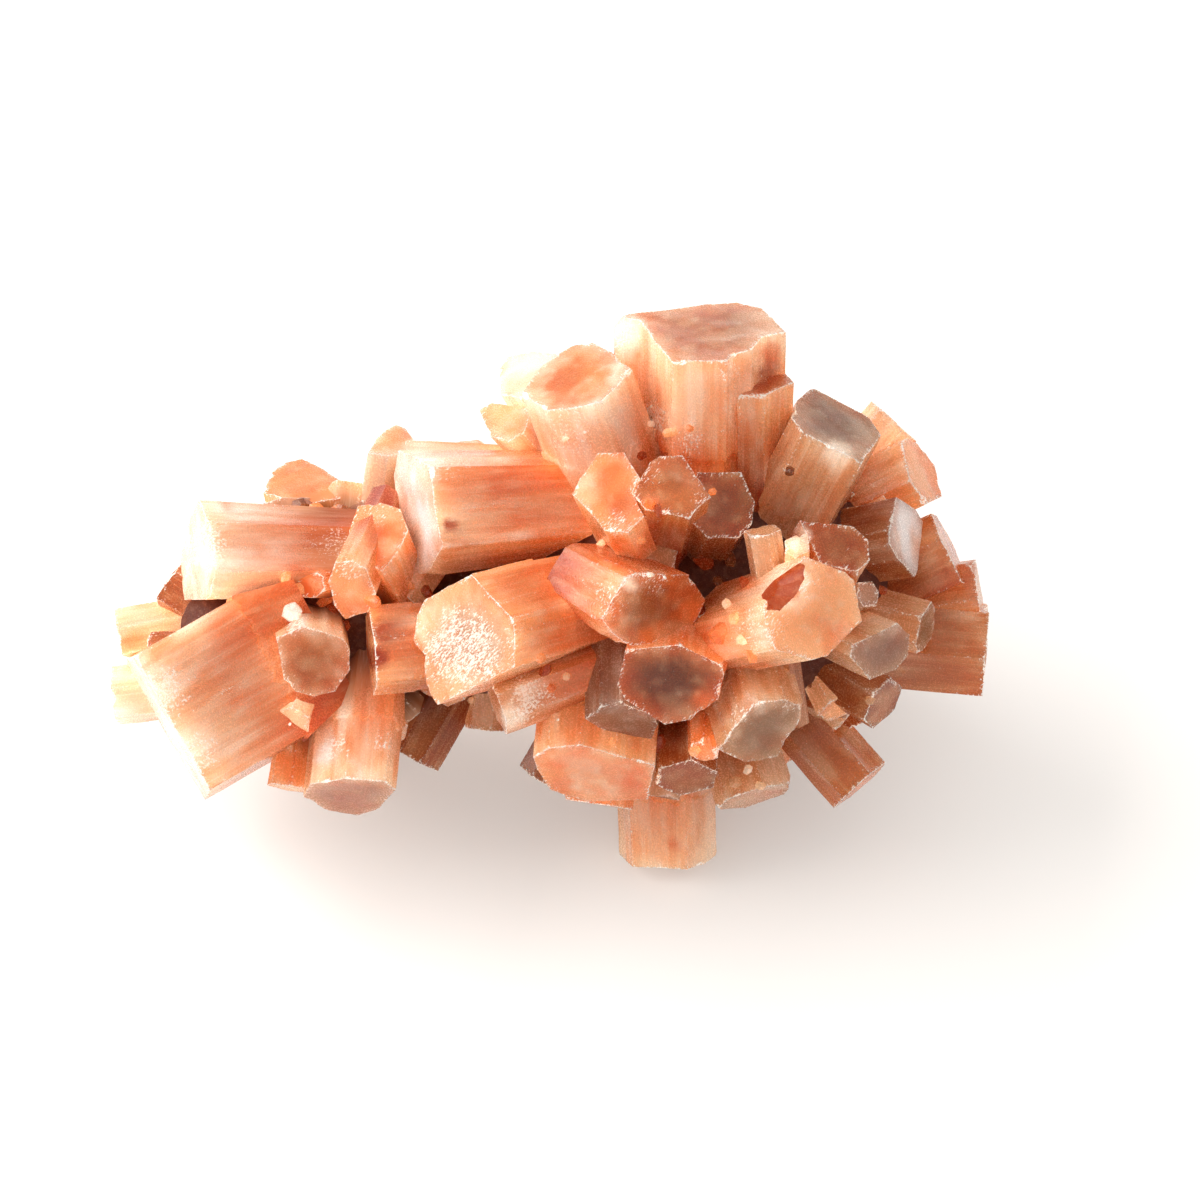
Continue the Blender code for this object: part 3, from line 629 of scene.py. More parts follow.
# The floor: how wide, its two faint tints and how often they turn in a metre, and its own faint light
FLOOR_REACH = 1.5
FLOOR_TINTS = ((0.70, 0.69, 0.68, 1), (0.73, 0.72, 0.71, 1))
FLOOR_CLOUDS = (9.0, 9.0, 9.0)
FLOOR = {"Emission Color": (1.0, 0.95, 0.90, 1), "Emission Strength": 0.27, "Roughness": 0.75}
# The light from all round, as tint and strength, and the window: place, size, watts, tint
WORLD = ((1.0, 0.985, 0.96, 1), 0.92)
WINDOW = ((-0.50, 0.10, 0.34), 0.64, 6.2, (1.0, 0.975, 0.94))
LIT = Vector((0, 0, 0.012))  # where the window's light is aimed
MOST_BOUNCES = 4  # of light, through the stone or in all
SURFACE_BOUNCES = 2
SENSOR = 36  # width of the camera's sensor, in millimetres
NEAREST_SEEN = 0.01

# One crystal to build. Its corners and axis lie in the drawing, and its lengths are in squares.
Crystal = namedtuple("Crystal", "name axis corners length chips")


def axis_of(heading, tilt):
    """Unit axis of a crystal: right, up on the drawing, toward the eye."""
    heading = math.radians(heading)
    tilt = math.radians(tilt)
    side = math.sin(tilt)
    return Vector((side * math.cos(heading), side * math.sin(heading), math.cos(tilt)))


def place(across, down, depth):
    """The point that the eye sees at this place of the grid, at this depth."""
    shrink = (EYE_DISTANCE - depth * SQUARE) / EYE_DISTANCE
    right = (across - GRID_MIDDLE) * SQUARE * shrink
    up = (GRID_MIDDLE - down) * SQUARE * shrink
    return Vector((right, up, depth * SQUARE))


def place_on(across, down, point, normal):
    """Where the eye's line through this place of the grid meets a plane."""
    eye = Vector((0, 0, EYE_DISTANCE))
    line = place(across, down, 0) - eye
    return eye + line * ((point - eye).dot(normal) / line.dot(normal))


def upright(vector):
    """Turns a vector of the drawing, seen from above, into the standing frame."""
    return Matrix.Rotation(math.radians(90 - EYE_ELEVATION), 3, "X") @ vector


def across_axis(axis):
    """Two directions square to a crystal's axis and to each other."""
    first = axis.orthogonal().normalized()
    return first, axis.cross(first)


def middle_of(points):
    """The mean of some points."""
    return sum(points, Vector()) / len(points)


def twin_outline(middle, axis, half_width, roll, rng):
    """A six-sided end with sides at uneven distances, as cyclic twins have."""
    first, second = across_axis(axis)
    distances = [half_width * SQUARE * rng.uniform(*TWIN_SIDES) for _ in range(6)]
    corners = []
    for i in range(6):
        a = math.radians(roll + 60 * i)
        b = math.radians(roll + 60 * (i + 1))
        # The corner where sides i and i + 1 meet
        left, right = distances[i], distances[(i + 1) % 6]
        turn = math.sin(b - a)
        x = (left * math.sin(b) - right * math.sin(a)) / turn
        y = (right * math.cos(a) - left * math.cos(b)) / turn
        corners.append(middle + first * x + second * y)
    return corners


def nearest_centre(point):
    """The centre of growth that a crystal's end belongs to."""
    centres = [place(*centre) for centre in (MAIN_CENTRE, LEFT_CENTRE)]
    return min(centres, key=lambda centre: (centre - point).length)


def length_of(name, middle):
    """How far a crystal runs back from its end, in squares."""
    if name in SHORT:
        return SHORT[name]
    return (middle - nearest_centre(middle)).length / SQUARE * ROOT_SHARE


def chips_of(corners, axis, rng):
    """The flats where corners of a crystal's end are broken away: a point and an outward direction."""
    middle = middle_of(corners)
    chips = []
    for _ in range(rng.randint(0, MOST_CHIPS)):
        corner = corners[rng.randrange(len(corners))]
        outward = (corner - middle).normalized() + axis * rng.uniform(*CHIP_LEAN)
        normal = outward.normalized()
        chips.append((corner - normal * rng.uniform(*CHIP) * SQUARE, normal))
    return chips


def seen_end(name):
    """The axis, middle and outline of an end that faces the eye."""
    heading, tilt, depth, outline = SEEN_ENDS[name]
    axis = axis_of(heading, tilt)
    across = sum(p[0] for p in outline) / len(outline)
    down = sum(p[1] for p in outline) / len(outline)
    middle = place(across, down, depth)
    return axis, middle, [place_on(x, y, middle, axis) for x, y in outline]


def seen_crystals():
    """The crystals whose ends face the eye."""
    rng = random.Random(SEED + 3)
    for name in SEEN_ENDS:
        axis, middle, corners = seen_end(name)
        yield Crystal(name, axis, corners, length_of(name, middle), chips_of(corners, axis, rng))


def side_crystals():
    """The crystals seen from the side."""
    rng = random.Random(SEED)
    for name, (across, down, depth, heading, tilt, half_width, roll) in SIDE_ON.items():
        axis = axis_of(heading, tilt)
        middle = place(across, down, depth)
        corners = twin_outline(middle, axis, half_width, roll, rng)
        yield Crystal(name, axis, corners, length_of(name, middle), chips_of(corners, axis, rng))


def feet():
    """The crystals that the cluster stands on."""
    rng = random.Random(SEED + 1)
    for name, (across, down, depth, half_width) in FEET.items():
        middle = place(across, down, depth)
        axis = (middle - nearest_centre(middle)).normalized()
        corners = twin_outline(middle, axis, half_width, 0, rng)
        yield Crystal(name, axis, corners, length_of(name, middle), [])


def spiral(start, count, size, reach, half_widths, stray, rng):
    """Ends in a spiral all round a point and above the ground: axis, how far out, half width, roll."""
    golden = math.pi * (3 - math.sqrt(5))
    room = GROUND_ROOM + upright(start).z / SQUARE
    for i in range(count):
        level = 1 - 2 * (i + 0.5) / count
        side = math.sqrt(1 - level * level)
        turn = i * golden
        axis = Vector((side * math.cos(turn), side * math.sin(turn), level))
        aside = Vector((rng.uniform(-1, 1), rng.uniform(-1, 1), rng.uniform(-1, 1)))
        axis = (axis + aside * stray).normalized()
        half_width = rng.uniform(*half_widths)
        roll = rng.uniform(0, 60)
        far = size * rng.uniform(*reach)
        drop = -upright(axis).z
        if drop > 0:
            far = min(far, (room - half_width / 2) / drop)
        yield i, axis, far, half_width, roll


def back_crystals():
    """Crystals over the back and the underside of both centres."""
    rng = random.Random(SEED + 2)
    for centre, count, size, rim, *half_widths in BACK:
        start = place(*centre)
        ends = spiral(start, count, size, BACK_REACH, half_widths, BACK_STRAY, rng)
        for i, axis, far, half_width, roll in ends:
            if axis.z > BACK_DEPTH:
                continue
            far = min(far, rim / math.hypot(axis.x, axis.y))
            middle = start + axis * far * SQUARE
            corners = twin_outline(middle, axis, half_width, roll, rng)
            name = f"back_{start.x > 0:d}_{i}"
            yield Crystal(name, axis, corners, far * ROOT_SHARE, chips_of(corners, axis, rng))


def young_crystals():
    """Short crystals all over the lumps, but not where the large ones face the eye."""
    rng = random.Random(SEED + 5)
    count, reach, half_widths = YOUNG
    for across, down, depth, radius in LUMPS:
        start = place(across, down, depth)
        others = [(place(*lump[:3]), lump[3]) for lump in LUMPS if lump[:3] != (across, down, depth)]
        ends = spiral(start, count, radius, reach, half_widths, YOUNG_STRAY, rng)
        for i, axis, far, half_width, roll in ends:
            middle = start + axis * far * SQUARE
            buried = any((middle - other).length < size * SQUARE for other, size in others)
            if axis.z + YOUNG_LOW * min(axis.y, 0) > YOUNG_DEPTH or buried:
                continue
            corners = twin_outline(middle, axis, half_width, roll, rng)
            name = f"young_{across}_{i}"
            yield Crystal(name, axis, corners, far * YOUNG_LENGTH, chips_of(corners, axis, rng))


def ripple(x, y=0.0, z=0.0):
    """Smooth noise from -1 to 1."""
    return noise.noise((x, y, z))


def ease(value, low, high):
    """0 below low, 1 above high, and a smooth rise between them."""
    t = min(max((value - low) / (high - low), 0.0), 1.0)
    return t * t * (3 - 2 * t)


def walk_round(outline, spacing):
    """Points round an outline with every corner kept: place, way in, distance walked, corner near."""
    count = len(outline)
    ways_in = []
    for a, b in zip(outline, outline[1:] + outline[:1]):
        edge = b - a
        ways_in.append(Vector((-edge.y, edge.x)).normalized())
    steps = []
    total = 0.0
    for i in range(count):
        a, b = outline[i], outline[(i + 1) % count]
        before, after = ways_in[i - 1], ways_in[i]
        at_corner = (before + after) / max(1 + before.dot(after), SHARPEST)
        length = (b - a).length
        pieces = max(1, round(length / spacing))
        for j in range(pieces):
            from_corner = min(j, pieces - j) / pieces * length
            way_in = at_corner if j == 0 else after
            steps.append((a.lerp(b, j / pieces), way_in, total + length * j / pieces, from_corner))
        total += length
    return steps


def inside(points, ring):
    """Which points lie inside a closed ring, and how far they are from it."""
    crossed = np.zeros(len(points), dtype=int)
    nearest = np.full(len(points), np.inf)
    for a, b in zip(ring, np.roll(ring, -1, axis=0)):
        straddles = (a[1] > points[:, 1]) != (b[1] > points[:, 1])
        climb = b[1] - a[1] if abs(b[1] - a[1]) > TINY else TINY
        reach = a[0] + (points[:, 1] - a[1]) / climb * (b[0] - a[0])
        crossed += straddles & (points[:, 0] < reach)
        run = b - a
        share = np.clip(((points - a) @ run) / max(run @ run, TINY), 0, 1)
        nearest = np.minimum(nearest, np.linalg.norm(points - (a + share[:, None] * run), axis=1))
    return crossed % 2 == 1, nearest


def crossings(ring):
    """The points of a closed ring whose sides cross another side."""
    count = len(ring)
    run = np.roll(ring, -1, axis=0) - ring
    gap = ring[None, :, :] - ring[:, None, :]
    turn = run[:, None, 0] * run[None, :, 1] - run[:, None, 1] * run[None, :, 0]
    turn = np.where(np.abs(turn) < TINY, TINY, turn)
    along = (gap[..., 0] * run[None, :, 1] - gap[..., 1] * run[None, :, 0]) / turn
    other = (gap[..., 0] * run[:, None, 1] - gap[..., 1] * run[:, None, 0]) / turn
    steps = np.abs(np.arange(count)[:, None] - np.arange(count)[None, :])
    apart = (steps > 1) & (steps < count - 1)
    hits = apart & (along >= 0) & (along <= 1) & (other >= 0) & (other <= 1)
    found = set()
    for i in np.nonzero(hits.any(axis=1))[0]:
        found.update(((i - 1) % count, i, (i + 1) % count, (i + 2) % count))
    return found


def cap_points(ring, spacing, rng):
    """Scattered points inside an end's rim, to carry its uneven surface."""
    low, high = ring.min(axis=0), ring.max(axis=0)
    points = []
    row = 0
    y = low[1]
    while y < high[1]:
        x = low[0] + (row % 2) * spacing / 2
        while x < high[0]:
            aside, along = rng.uniform(-CAP_STRAY, CAP_STRAY), rng.uniform(-CAP_STRAY, CAP_STRAY)
            points.append((x + aside * spacing, y + along * spacing))
            x += spacing
        y += spacing * CAP_ROW
        row += 1
    if not points:
        return np.zeros((0, 2))
    points = np.array(points)
    is_in, distance = inside(points, ring)
    return points[is_in & (distance > spacing * CAP_CLEAR)]


class Relief:
    """The small shapes of one crystal, the same each time for the same name."""

    def __init__(self, name, length):
        self.rng = random.Random(name)
        self.shift = self.rng.uniform(-FARTHEST_SHIFT, FARTHEST_SHIFT)
        self.length = length
        self.grain = ROUGH_ENDS.get(name, GRAIN)
        self.ledge = LEDGES.get(name)
        if self.ledge is None and self.rng.random() < LEDGE_SHARE:
            self.ledge = (self.rng.uniform(*LEDGE_DEPTHS), self.rng.choice(LEDGE_STEPS))

    def end(self, x, y):
        """How far the end stands out at a place."""
        s = self.shift
        height, width = END_WAVE
        wave = height * ripple(x / width + s, y / width, s)
        height, width = END_TERRACE
        level = ripple(x / width - s, y / width, 2 * s) * TERRACES
        level += TERRACE_RAG[0] * ripple(x / TERRACE_RAG[1], y / TERRACE_RAG[1], s)
        step = math.floor(level)
        terrace = height * (step + ease(level - step, *TERRACE_SLOPE))
        grain = self.grain * ripple(x / GRAIN_WIDTH, y / GRAIN_WIDTH, s)
        return wave + terrace * TERRACE_SHARE + grain

    def rim(self, s):
        """How far the rim is rounded or chipped away at a distance round it."""
        depth, width = RIM_CHIP
        chipped = max(0.0, ripple(s / width + self.shift, self.shift) - RIM_SOUND) * depth
        depth, width = RIM_ROUGH
        return RIM_ROUND + depth * abs(ripple(s / width, self.shift)) + chipped

    def flute(self, s, from_corner, depth):
        """How far the side is grooved at a distance round it, and a depth."""
        drift = depth / GROOVE_TURN
        cut, width = BROAD_GROOVE
        broad = cut * abs(ripple(s / width + self.shift, drift, self.shift))
        cut, width = FINE_GROOVE
        fine = cut * abs(ripple(s / width - self.shift, drift, self.shift))
        swell, width = SIDE_LUMP
        lumps = swell * ripple(s / width, depth / width, self.shift)
        return (broad + fine) * ease(from_corner, 0, GROOVE_CLEAR) + lumps * ease(depth, *LUMPS_FROM)

    def ledge_line(self, s):
        """The ragged depth at which the side steps in or out."""
        (broad, broad_width), (fine, fine_width) = LEDGE_RAG
        broad *= ripple(s / broad_width + self.shift, 7.0)
        return self.ledge[0] + broad + fine * ripple(s / fine_width, 3.0)

    def width(self, depth, past_ledge):
        """The width of the crystal at a depth, against its end's."""
        if self.ledge and not past_ledge:
            return 1.0
        start, step = self.ledge or (0.0, 1.0)
        share = (depth - start) / max(self.length - start, TINY)
        return step + (ROOT_WIDTH - step) * min(max(share, 0.0), 1.0)


def ring_depths(relief, s):
    """Depths of the rings below the rim at a distance round it: (depth, past the ledge)."""
    length = relief.length
    depths = [(d, False) for d in STATIONS if d < length - ROOT_ROOM]
    if relief.ledge and relief.ledge[0] < length * LEDGE_LIMIT:
        middle = relief.ledge[0]
        line = relief.ledge_line(s)
        above = [(d, False) for d, _ in depths if d < middle - LEDGE_ROOM]
        below = [(d, True) for d, _ in depths if d > middle + LEDGE_ROOM + LEDGE_DROP]
        depths = above + [(line, False), (line + LEDGE_DROP * 0.5, True)] + below
    else:
        relief.ledge = None
        depths = [(d, True) for d, _ in depths]
    return depths + [(length, True)]


def linear(name):
    """A palette colour in the renderer's own scale."""
    shares = [value / 255 for value in PALETTE[name]]
    return np.array([s / 12.92 if s <= 0.04045 else ((s + 0.055) / 1.055) ** 2.4 for s in shares])


def colour(name):
    """A palette colour with its alpha, for a socket."""
    return (*linear(name), 1.0)


def looks_of(name):
    """The three colours of a crystal: end, side, side toward the root."""
    if name in LOOKS:
        looks = LOOKS[name]
    else:
        looks = random.Random(name).choice(BACK_LOOKS)
    return [linear(tint_name) for tint_name in looks]


def grid_place(point):
    """Where the eye sees a point of the drawing, on the grid."""
    shrink = (EYE_DISTANCE - point.z) / EYE_DISTANCE
    return GRID_MIDDLE + point.x / (SQUARE * shrink), GRID_MIDDLE - point.y / (SQUARE * shrink)


def rise(values, low, high):
    """0 below low, 1 above high, and a smooth rise between them, for many values."""
    t = np.clip((values - low) / (high - low), 0, 1)
    return (t * t * (3 - 2 * t))[:, None]


def clouds(places, across, along):
    """Cloudy noise round 0.5 at many places, drawn out along a crystal."""
    finer = CLOUD_FINER
    broad = [ripple(x * across, y * across, z * along) for x, y, z in places]
    fine = [ripple(x * across * finer, y * across * finer, z * along * finer) for x, y, z in places]
    return 0.5 + CLOUD_BROAD * np.array(broad) + CLOUD_FINE * np.array(fine)


def veiled(tints, places):
    """A crystal's colours with dark veils, iron stains and milky clouds in them."""
    for across, along, low, high, taken in VEILS:
        tints = tints * (1 - rise(clouds(places, across, along), low, high) * np.array(taken))
    for across, along, low, high, share in MILK:
        milk = rise(clouds(places, across, along), low, high) * share
        tints = tints * (1 - milk) + tints ** MILKY * milk
    return tints


def painted(across, down, spot_across, spot_down, radius):
    """How fully a round mark with a wandering edge covers a place of the grid."""
    stray, width = SPOT_STRAY
    wander = radius * stray * ripple(across / width, down / width, radius)
    far = math.hypot(across - spot_across, down - spot_down) + wander
    return 1 - ease(far, radius * SPOT_EDGE[0], radius * SPOT_EDGE[1])


# What each face corner keeps: its colour, its place on its crystal, and marks for the painted shade of
# the recesses, dust, the end and the rim
CORNER_LAYERS = (
    ("tint", "FLOAT_COLOR", "color"),
    ("local", "FLOAT_VECTOR", "vector"),
    ("marks", "FLOAT_COLOR", "color"),
)


def corners_of(faces):
    """The point at each face corner."""
    return np.concatenate([np.array(face) for face in faces])


def skin_object(name, points, faces, corner_values, collection):
    """A mesh object in the standing frame, with its colours and places kept on its face corners."""
    mesh = bpy.data.meshes.new(name)
    mesh.from_pydata([upright(p) - FOOT for p in points], [], faces)
    for (key, kind, field), values in zip(CORNER_LAYERS, corner_values):
        layer = mesh.attributes.new(key, kind, "CORNER")
        layer.data.foreach_set(field, values.ravel())
    thing = bpy.data.objects.new(name, mesh)
    collection.objects.link(thing)
    return thing


def rim_of(steps, relief):
    """The rim of an end, drawn in by wear, but less where its sides would cross: places and insets."""
    insets = [relief.rim(s) for _, _, s, _ in steps]
    while True:
        rim = [spot + way_in * inset for (spot, way_in, _, _), inset in zip(steps, insets)]
        crossed = crossings(np.array([tuple(p) for p in rim]))
        if not crossed:
            return rim, insets
        for i in crossed:
            insets[i] *= 0.5


def side_rings(steps, rim, insets, relief):
    """The rings of points from the rim down to the root: places, depths, and how many rings."""
    spots = list(rim)
    depths = [-relief.end(spot.x, spot.y) for spot in rim]
    shoulders = [depth + inset * SHOULDER for depth, inset in zip(depths, insets)]
    ring_lists = [ring_depths(relief, s) for _, _, s, _ in steps]
    root = len(ring_lists[0])
    for k in range(root + 1):
        for i, (spot, way_in, s, from_corner) in enumerate(steps):
            depth, past = shoulders[i], False
            if k > 0:
                depth, past = ring_lists[i][k - 1]
                depth += max(0.0, 1 - depth / SHOULDER_FADE) * shoulders[i]
            inset = 0.0 if k == root else relief.flute(s, from_corner, depth)
            spots.append(spot * relief.width(depth, past) + way_in * inset)
            depths.append(depth)
    return spots, depths, root + 2


def cap_faces(rim, spacing, relief, spots, depths):
    """The triangles of an uneven end, whose points inside the rim are added to the places and depths."""
    around = len(rim)
    ring = np.array([tuple(p) for p in rim])
    extra = cap_points(ring, spacing, relief.rng)
    edges = [(i, (i + 1) % around) for i in range(around)]
    flat = [Vector(p) for p in np.vstack([ring, extra])]
    found, _, triangles, origins, _, _ = delaunay_2d_cdt(flat, edges, [], INSIDE_RIM, SAME_POINT)
    index = {}
    for i, spot in enumerate(found):
        source = origins[i][0] if origins[i] else None
        if source is not None and source < around:
            index[i] = source
        else:
            index[i] = len(spots)
            spots.append(spot.copy())
            depths.append(-relief.end(spot.x, spot.y))
    return [tuple(index[i] for i in triangle) for triangle in triangles]


def band_faces(around, rings):
    """The faces between rings of points, and the one that closes the last ring."""
    faces = []
    for k in range(rings - 1):
        upper, lower = k * around, (k + 1) * around
        for i in range(around):
            j = (i + 1) % around
            faces.append((upper + i, lower + i, lower + j, upper + j))
    last = (rings - 1) * around
    faces.append(tuple(last + i for i in range(around))[::-1])
    return faces


def chipped(point, chips):
    """A point pressed back to the flats of its crystal's chips."""
    for chip, normal in chips:
        beyond = (point - chip).dot(normal)
        if beyond > 0:
            point = point - normal * beyond
    return point


def tints_of(name, depths, from_rim, half_width):
    """The colours that a crystal's points have on its sides, and on its end, with a painted glow near the
    end's rim.
    """
    end_tint, side_tint, root_tint = looks_of(name)
    # Painted glow: light from the sides painted into the end near its rim
    glow = np.clip(1 - from_rim / (half_width * RIM_GLOW), 0, 1)[:, None] ** GLOW_FADE * GLOW_MOST
    ends = end_tint * (1 - glow) + (side_tint * (1 - GLOW_ROOT) + root_tint * GLOW_ROOT) * glow
    share = np.clip((depths - SIDE_COLOUR[0]) / SIDE_COLOUR[1], 0, 1)[:, None]
    return side_tint * (1 - share) + root_tint * share, ends


def worn_dust(steps, rings, depths, from_rim):
    """How much dust lies on a crystal's rim and on the edges between its sides."""
    from_corner = np.full(len(depths), np.inf)
    from_corner[:rings * len(steps)] = np.tile([step[3] for step in steps], rings)
    below = np.maximum(depths, 0)
    to_rim = np.where(np.isinf(from_corner), from_rim, below)
    on_edge = np.exp(-from_corner / EDGE_WEAR) * np.clip(1 - below / WORN_EDGE, 0, 1)
    return np.maximum(RIM_DUST * np.exp(-to_rim / RIM_WEAR), EDGE_DUST * on_edge)


def paint(name, points, sides, ends, dust):
    """Lays a crystal's stains, painted highlights and painted shade where the eye sees them, its dust,
    and the painted shade of the recesses.
    """
    recess_shade = np.zeros(len(points))
    for i, point in enumerate(points):
        across, down = grid_place(point)
        # Stains, and also painted highlights, reflections and shade, where the eye sees them
        for *spot, tint_name, strength in STAINS_AND_PAINTED_LIGHT.get(name, ()):
            share = strength * painted(across, down, *spot)
            if share > 0:
                sides[i] = sides[i] * (1 - share) + linear(tint_name) * share
                ends[i] = ends[i] * (1 - share) + linear(tint_name) * share
        for *spot, strength in DUST.get(name, ()):
            dust[i] = max(dust[i], strength * painted(across, down, *spot))
        # Painted shade: darker toward the centre of growth, deep among the crystals
        far = (point - nearest_centre(point)).length / SQUARE
        share = 1 - ease(far, SHADE_WITHIN[1], SHADE_WITHIN[0])
        if share > 0:
            sides[i] = sides[i] * (1 - share) + linear("dark") * share
            recess_shade[i] = share
    return recess_shade


def build_crystal(crystal, spacing, collection):
    """One crystal as a closed skin: a rough end, a chipped rim, fluted sides with a ledge, a root."""
    middle = middle_of(crystal.corners)
    first, second = across_axis(crystal.axis)
    corners = [corner - middle for corner in crystal.corners]
    outline = [Vector((corner.dot(first), corner.dot(second))) / SQUARE for corner in corners]
    area = sum(a.x * b.y - b.x * a.y for a, b in zip(outline, outline[1:] + outline[:1]))
    if area < 0:
        outline.reverse()
    half_width = math.sqrt(abs(area) / 2 / math.pi)
    relief = Relief(crystal.name, crystal.length)
    steps = walk_round(outline, spacing[0])
    rim, insets = rim_of(steps, relief)
    spots, depths, rings = side_rings(steps, rim, insets, relief)
    end_faces = cap_faces(rim, spacing[1], relief, spots, depths)
    faces = end_faces + band_faces(len(steps), rings)
    points = []
    for spot, depth in zip(spots, depths):
        point = middle + (first * spot.x + second * spot.y - crystal.axis * depth) * SQUARE
        points.append(chipped(point, crystal.chips))

    shift = relief.shift
    places = [(p.x + shift, p.y - shift, d + shift) for p, d in zip(spots, depths)]
    depths = np.array(depths)
    _, from_rim = inside(np.array([tuple(p) for p in spots]), np.array([tuple(p) for p in rim]))
    sides, ends = tints_of(crystal.name, depths, from_rim, half_width)
    dust = worn_dust(steps, rings, depths, from_rim)
    recess_shade = paint(crystal.name, points, sides, ends, dust)
    sides, ends = veiled(sides, places), veiled(ends, places)
    at = corners_of(faces)
    face_at = np.repeat(np.arange(len(faces)), [len(face) for face in faces])
    is_end = face_at < len(end_faces)
    is_rim = (face_at >= len(end_faces)) & (face_at < len(end_faces) + len(steps))
    tint = np.where(is_end[:, None], ends[at], sides[at])
    tint = np.hstack([tint, np.ones((len(at), 1))])
    marks = np.stack([recess_shade[at], dust[at], is_end, is_rim], axis=1)
    return skin_object(crystal.name, points, faces, (tint, np.array(places)[at], marks), collection)


def plain_object(name, points, faces, tint_name, recess_shade, collection):
    """A mesh object of one colour."""
    at = corners_of(faces)
    tint = np.tile(colour(tint_name), (len(at), 1))
    local = np.array([tuple(p / SQUARE) for p in points])[at]
    marks = np.tile((recess_shade, 0.0, 0.0, 0.0), (len(at), 1))
    return skin_object(name, points, faces, (tint, local, marks), collection)


def taken_apart(bm):
    """The points and faces of a mesh that has been built, which is then freed."""
    points = [vert.co.copy() for vert in bm.verts]
    faces = [tuple(vert.index for vert in face.verts) for face in bm.faces]
    bm.free()
    return points, faces


def build_lump(across, down, depth, radius, collection):
    """A rough ball of massive aragonite, coloured dark: painted shade in the deep gaps between the
    crystals.
    """
    bm = bmesh.new()
    bmesh.ops.create_icosphere(bm, subdivisions=LUMP_SPLITS, radius=radius * LUMP_SIZE)
    middle = place(across, down, depth)
    (coarse, coarse_width), (fine, fine_width) = LUMP_GRIT
    for vert in bm.verts:
        grit = coarse * ripple(*(vert.co / coarse_width)) + fine * abs(ripple(*(vert.co / fine_width)))
        vert.co = middle + vert.co * (1 + grit / radius) * SQUARE
    # Its dark colour is painted shade.
    return plain_object("lump", *taken_apart(bm), "dark", 1.0, collection)


def build_hollow(collection):
    """The cutter of the rough hollow in the end of the right front crystal."""
    axis, middle, _ = seen_end("right_front")
    start, finish, half_width, deep = HOLLOW
    start = place_on(*start, middle, axis)
    run = place_on(*finish, middle, axis) - start
    aside = axis.cross(run).normalized() * half_width * SQUARE
    rim = [start + run * along + aside * side for along, side in HOLLOW_RIM]
    centre = middle_of(rim)
    loop = []
    for a, b in zip(rim, rim[1:] + rim[:1]):
        loop += [a.lerp(b, j / HOLLOW_STEPS) for j in range(HOLLOW_STEPS)]
    rag, rag_width = HOLLOW_RAG
    points = []
    for k in range(HOLLOW_ROUNDS):
        share = k / (HOLLOW_ROUNDS - 1)
        width = 1.0 - HOLLOW_TAPER * share ** 1.5
        height = HOLLOW_ABOVE - (HOLLOW_ABOVE + deep) * share
        for i, spot in enumerate(loop):
            jag = 1 + rag * ripple(i / rag_width, share * 3, 4.2)
            points.append(centre + (spot - centre) * width * jag + axis * height * SQUARE)
    faces = [tuple(range(len(loop)))] + band_faces(len(loop), HOLLOW_ROUNDS)
    thing = plain_object("hollow", points, faces, "rust", 0.5, collection)
    bm = bmesh.new()
    bm.from_mesh(thing.data)
    bmesh.ops.recalc_face_normals(bm, faces=bm.faces)
    bm.to_mesh(thing.data)
    bm.free()
    return thing


def build_ground(collection):
    """A slab below the ground, which cuts the feet flat."""
    bm = bmesh.new()
    bmesh.ops.create_cube(bm, size=1)
    for vert in bm.verts:
        vert.co = (vert.co.x * SLAB_WIDTH, vert.co.y * SLAB_WIDTH, (vert.co.z - 0.5) * LENGTH)
    points, faces = taken_apart(bm)
    thing = plain_object("ground", points, faces, "brown", 0.0, collection)
    for vert, point in zip(thing.data.vertices, points):
        vert.co = point
    return thing


def add_boolean(thing, operation, other=None, collection=None):
    """A Boolean modifier against one object or a collection of them."""
    modifier = thing.modifiers.new(operation.lower(), "BOOLEAN")
    modifier.operation = operation
    modifier.solver = "MANIFOLD"
    if collection:
        modifier.operand_type = "COLLECTION"
        modifier.collection = collection
    else:
        modifier.object = other


def outer_skin(bm):
    """Deletes every pocket that is sealed inside, so that only the largest skin stays."""
    left = set(bm.faces)
    skins = []
    while left:
        reached = [left.pop()]
        skin = []
        while reached:
            face = reached.pop()
            skin.append(face)
            for edge in face.edges:
                fresh = [other for other in edge.link_faces if other in left]
                left.difference_update(fresh)
                reached.extend(fresh)
        skins.append(skin)
    skins.sort(key=len)
    for skin in skins[:-1]:
        bmesh.ops.delete(bm, geom=skin, context="FACES")


def crumb_object(name, point, normal, half_width, tint_name, rng, collection):
    """A small broken crystal bit, half sunk in what carries it."""
    bm = bmesh.new()
    lean = Vector([rng.uniform(-CRUMB_LEAN, CRUMB_LEAN) for _ in range(3)])
    axis = (normal + lean).normalized()
    first, second = across_axis(axis)
    tall = half_width * rng.uniform(*CRUMB_HEIGHT)
    turn = rng.uniform(0, math.pi)
    rows = []
    for level, width in CRUMB_ROWS:
        row = []
        for i in range(6):
            angle = turn + i * math.pi / 3
            reach = half_width * width * rng.uniform(*CRUMB_UNEVEN)
            height = tall * level + rng.uniform(-CRUMB_TILT, CRUMB_TILT) * half_width
            spot = first * math.cos(angle) * reach + second * math.sin(angle) * reach + axis * height
            row.append(bm.verts.new(point + spot * SQUARE))
        rows.append(row)
    bm.faces.new(rows[-1])
    bm.faces.new(rows[0][::-1])
    for upper, lower in zip(rows[1:], rows):
        for i in range(6):
            j = (i + 1) % 6
            bm.faces.new((upper[i], lower[i], lower[j], upper[j]))
    bm.verts.index_update()
    bmesh.ops.triangulate(bm, faces=bm.faces)
    return plain_object(name, *taken_apart(bm), tint_name, 0.0, collection)


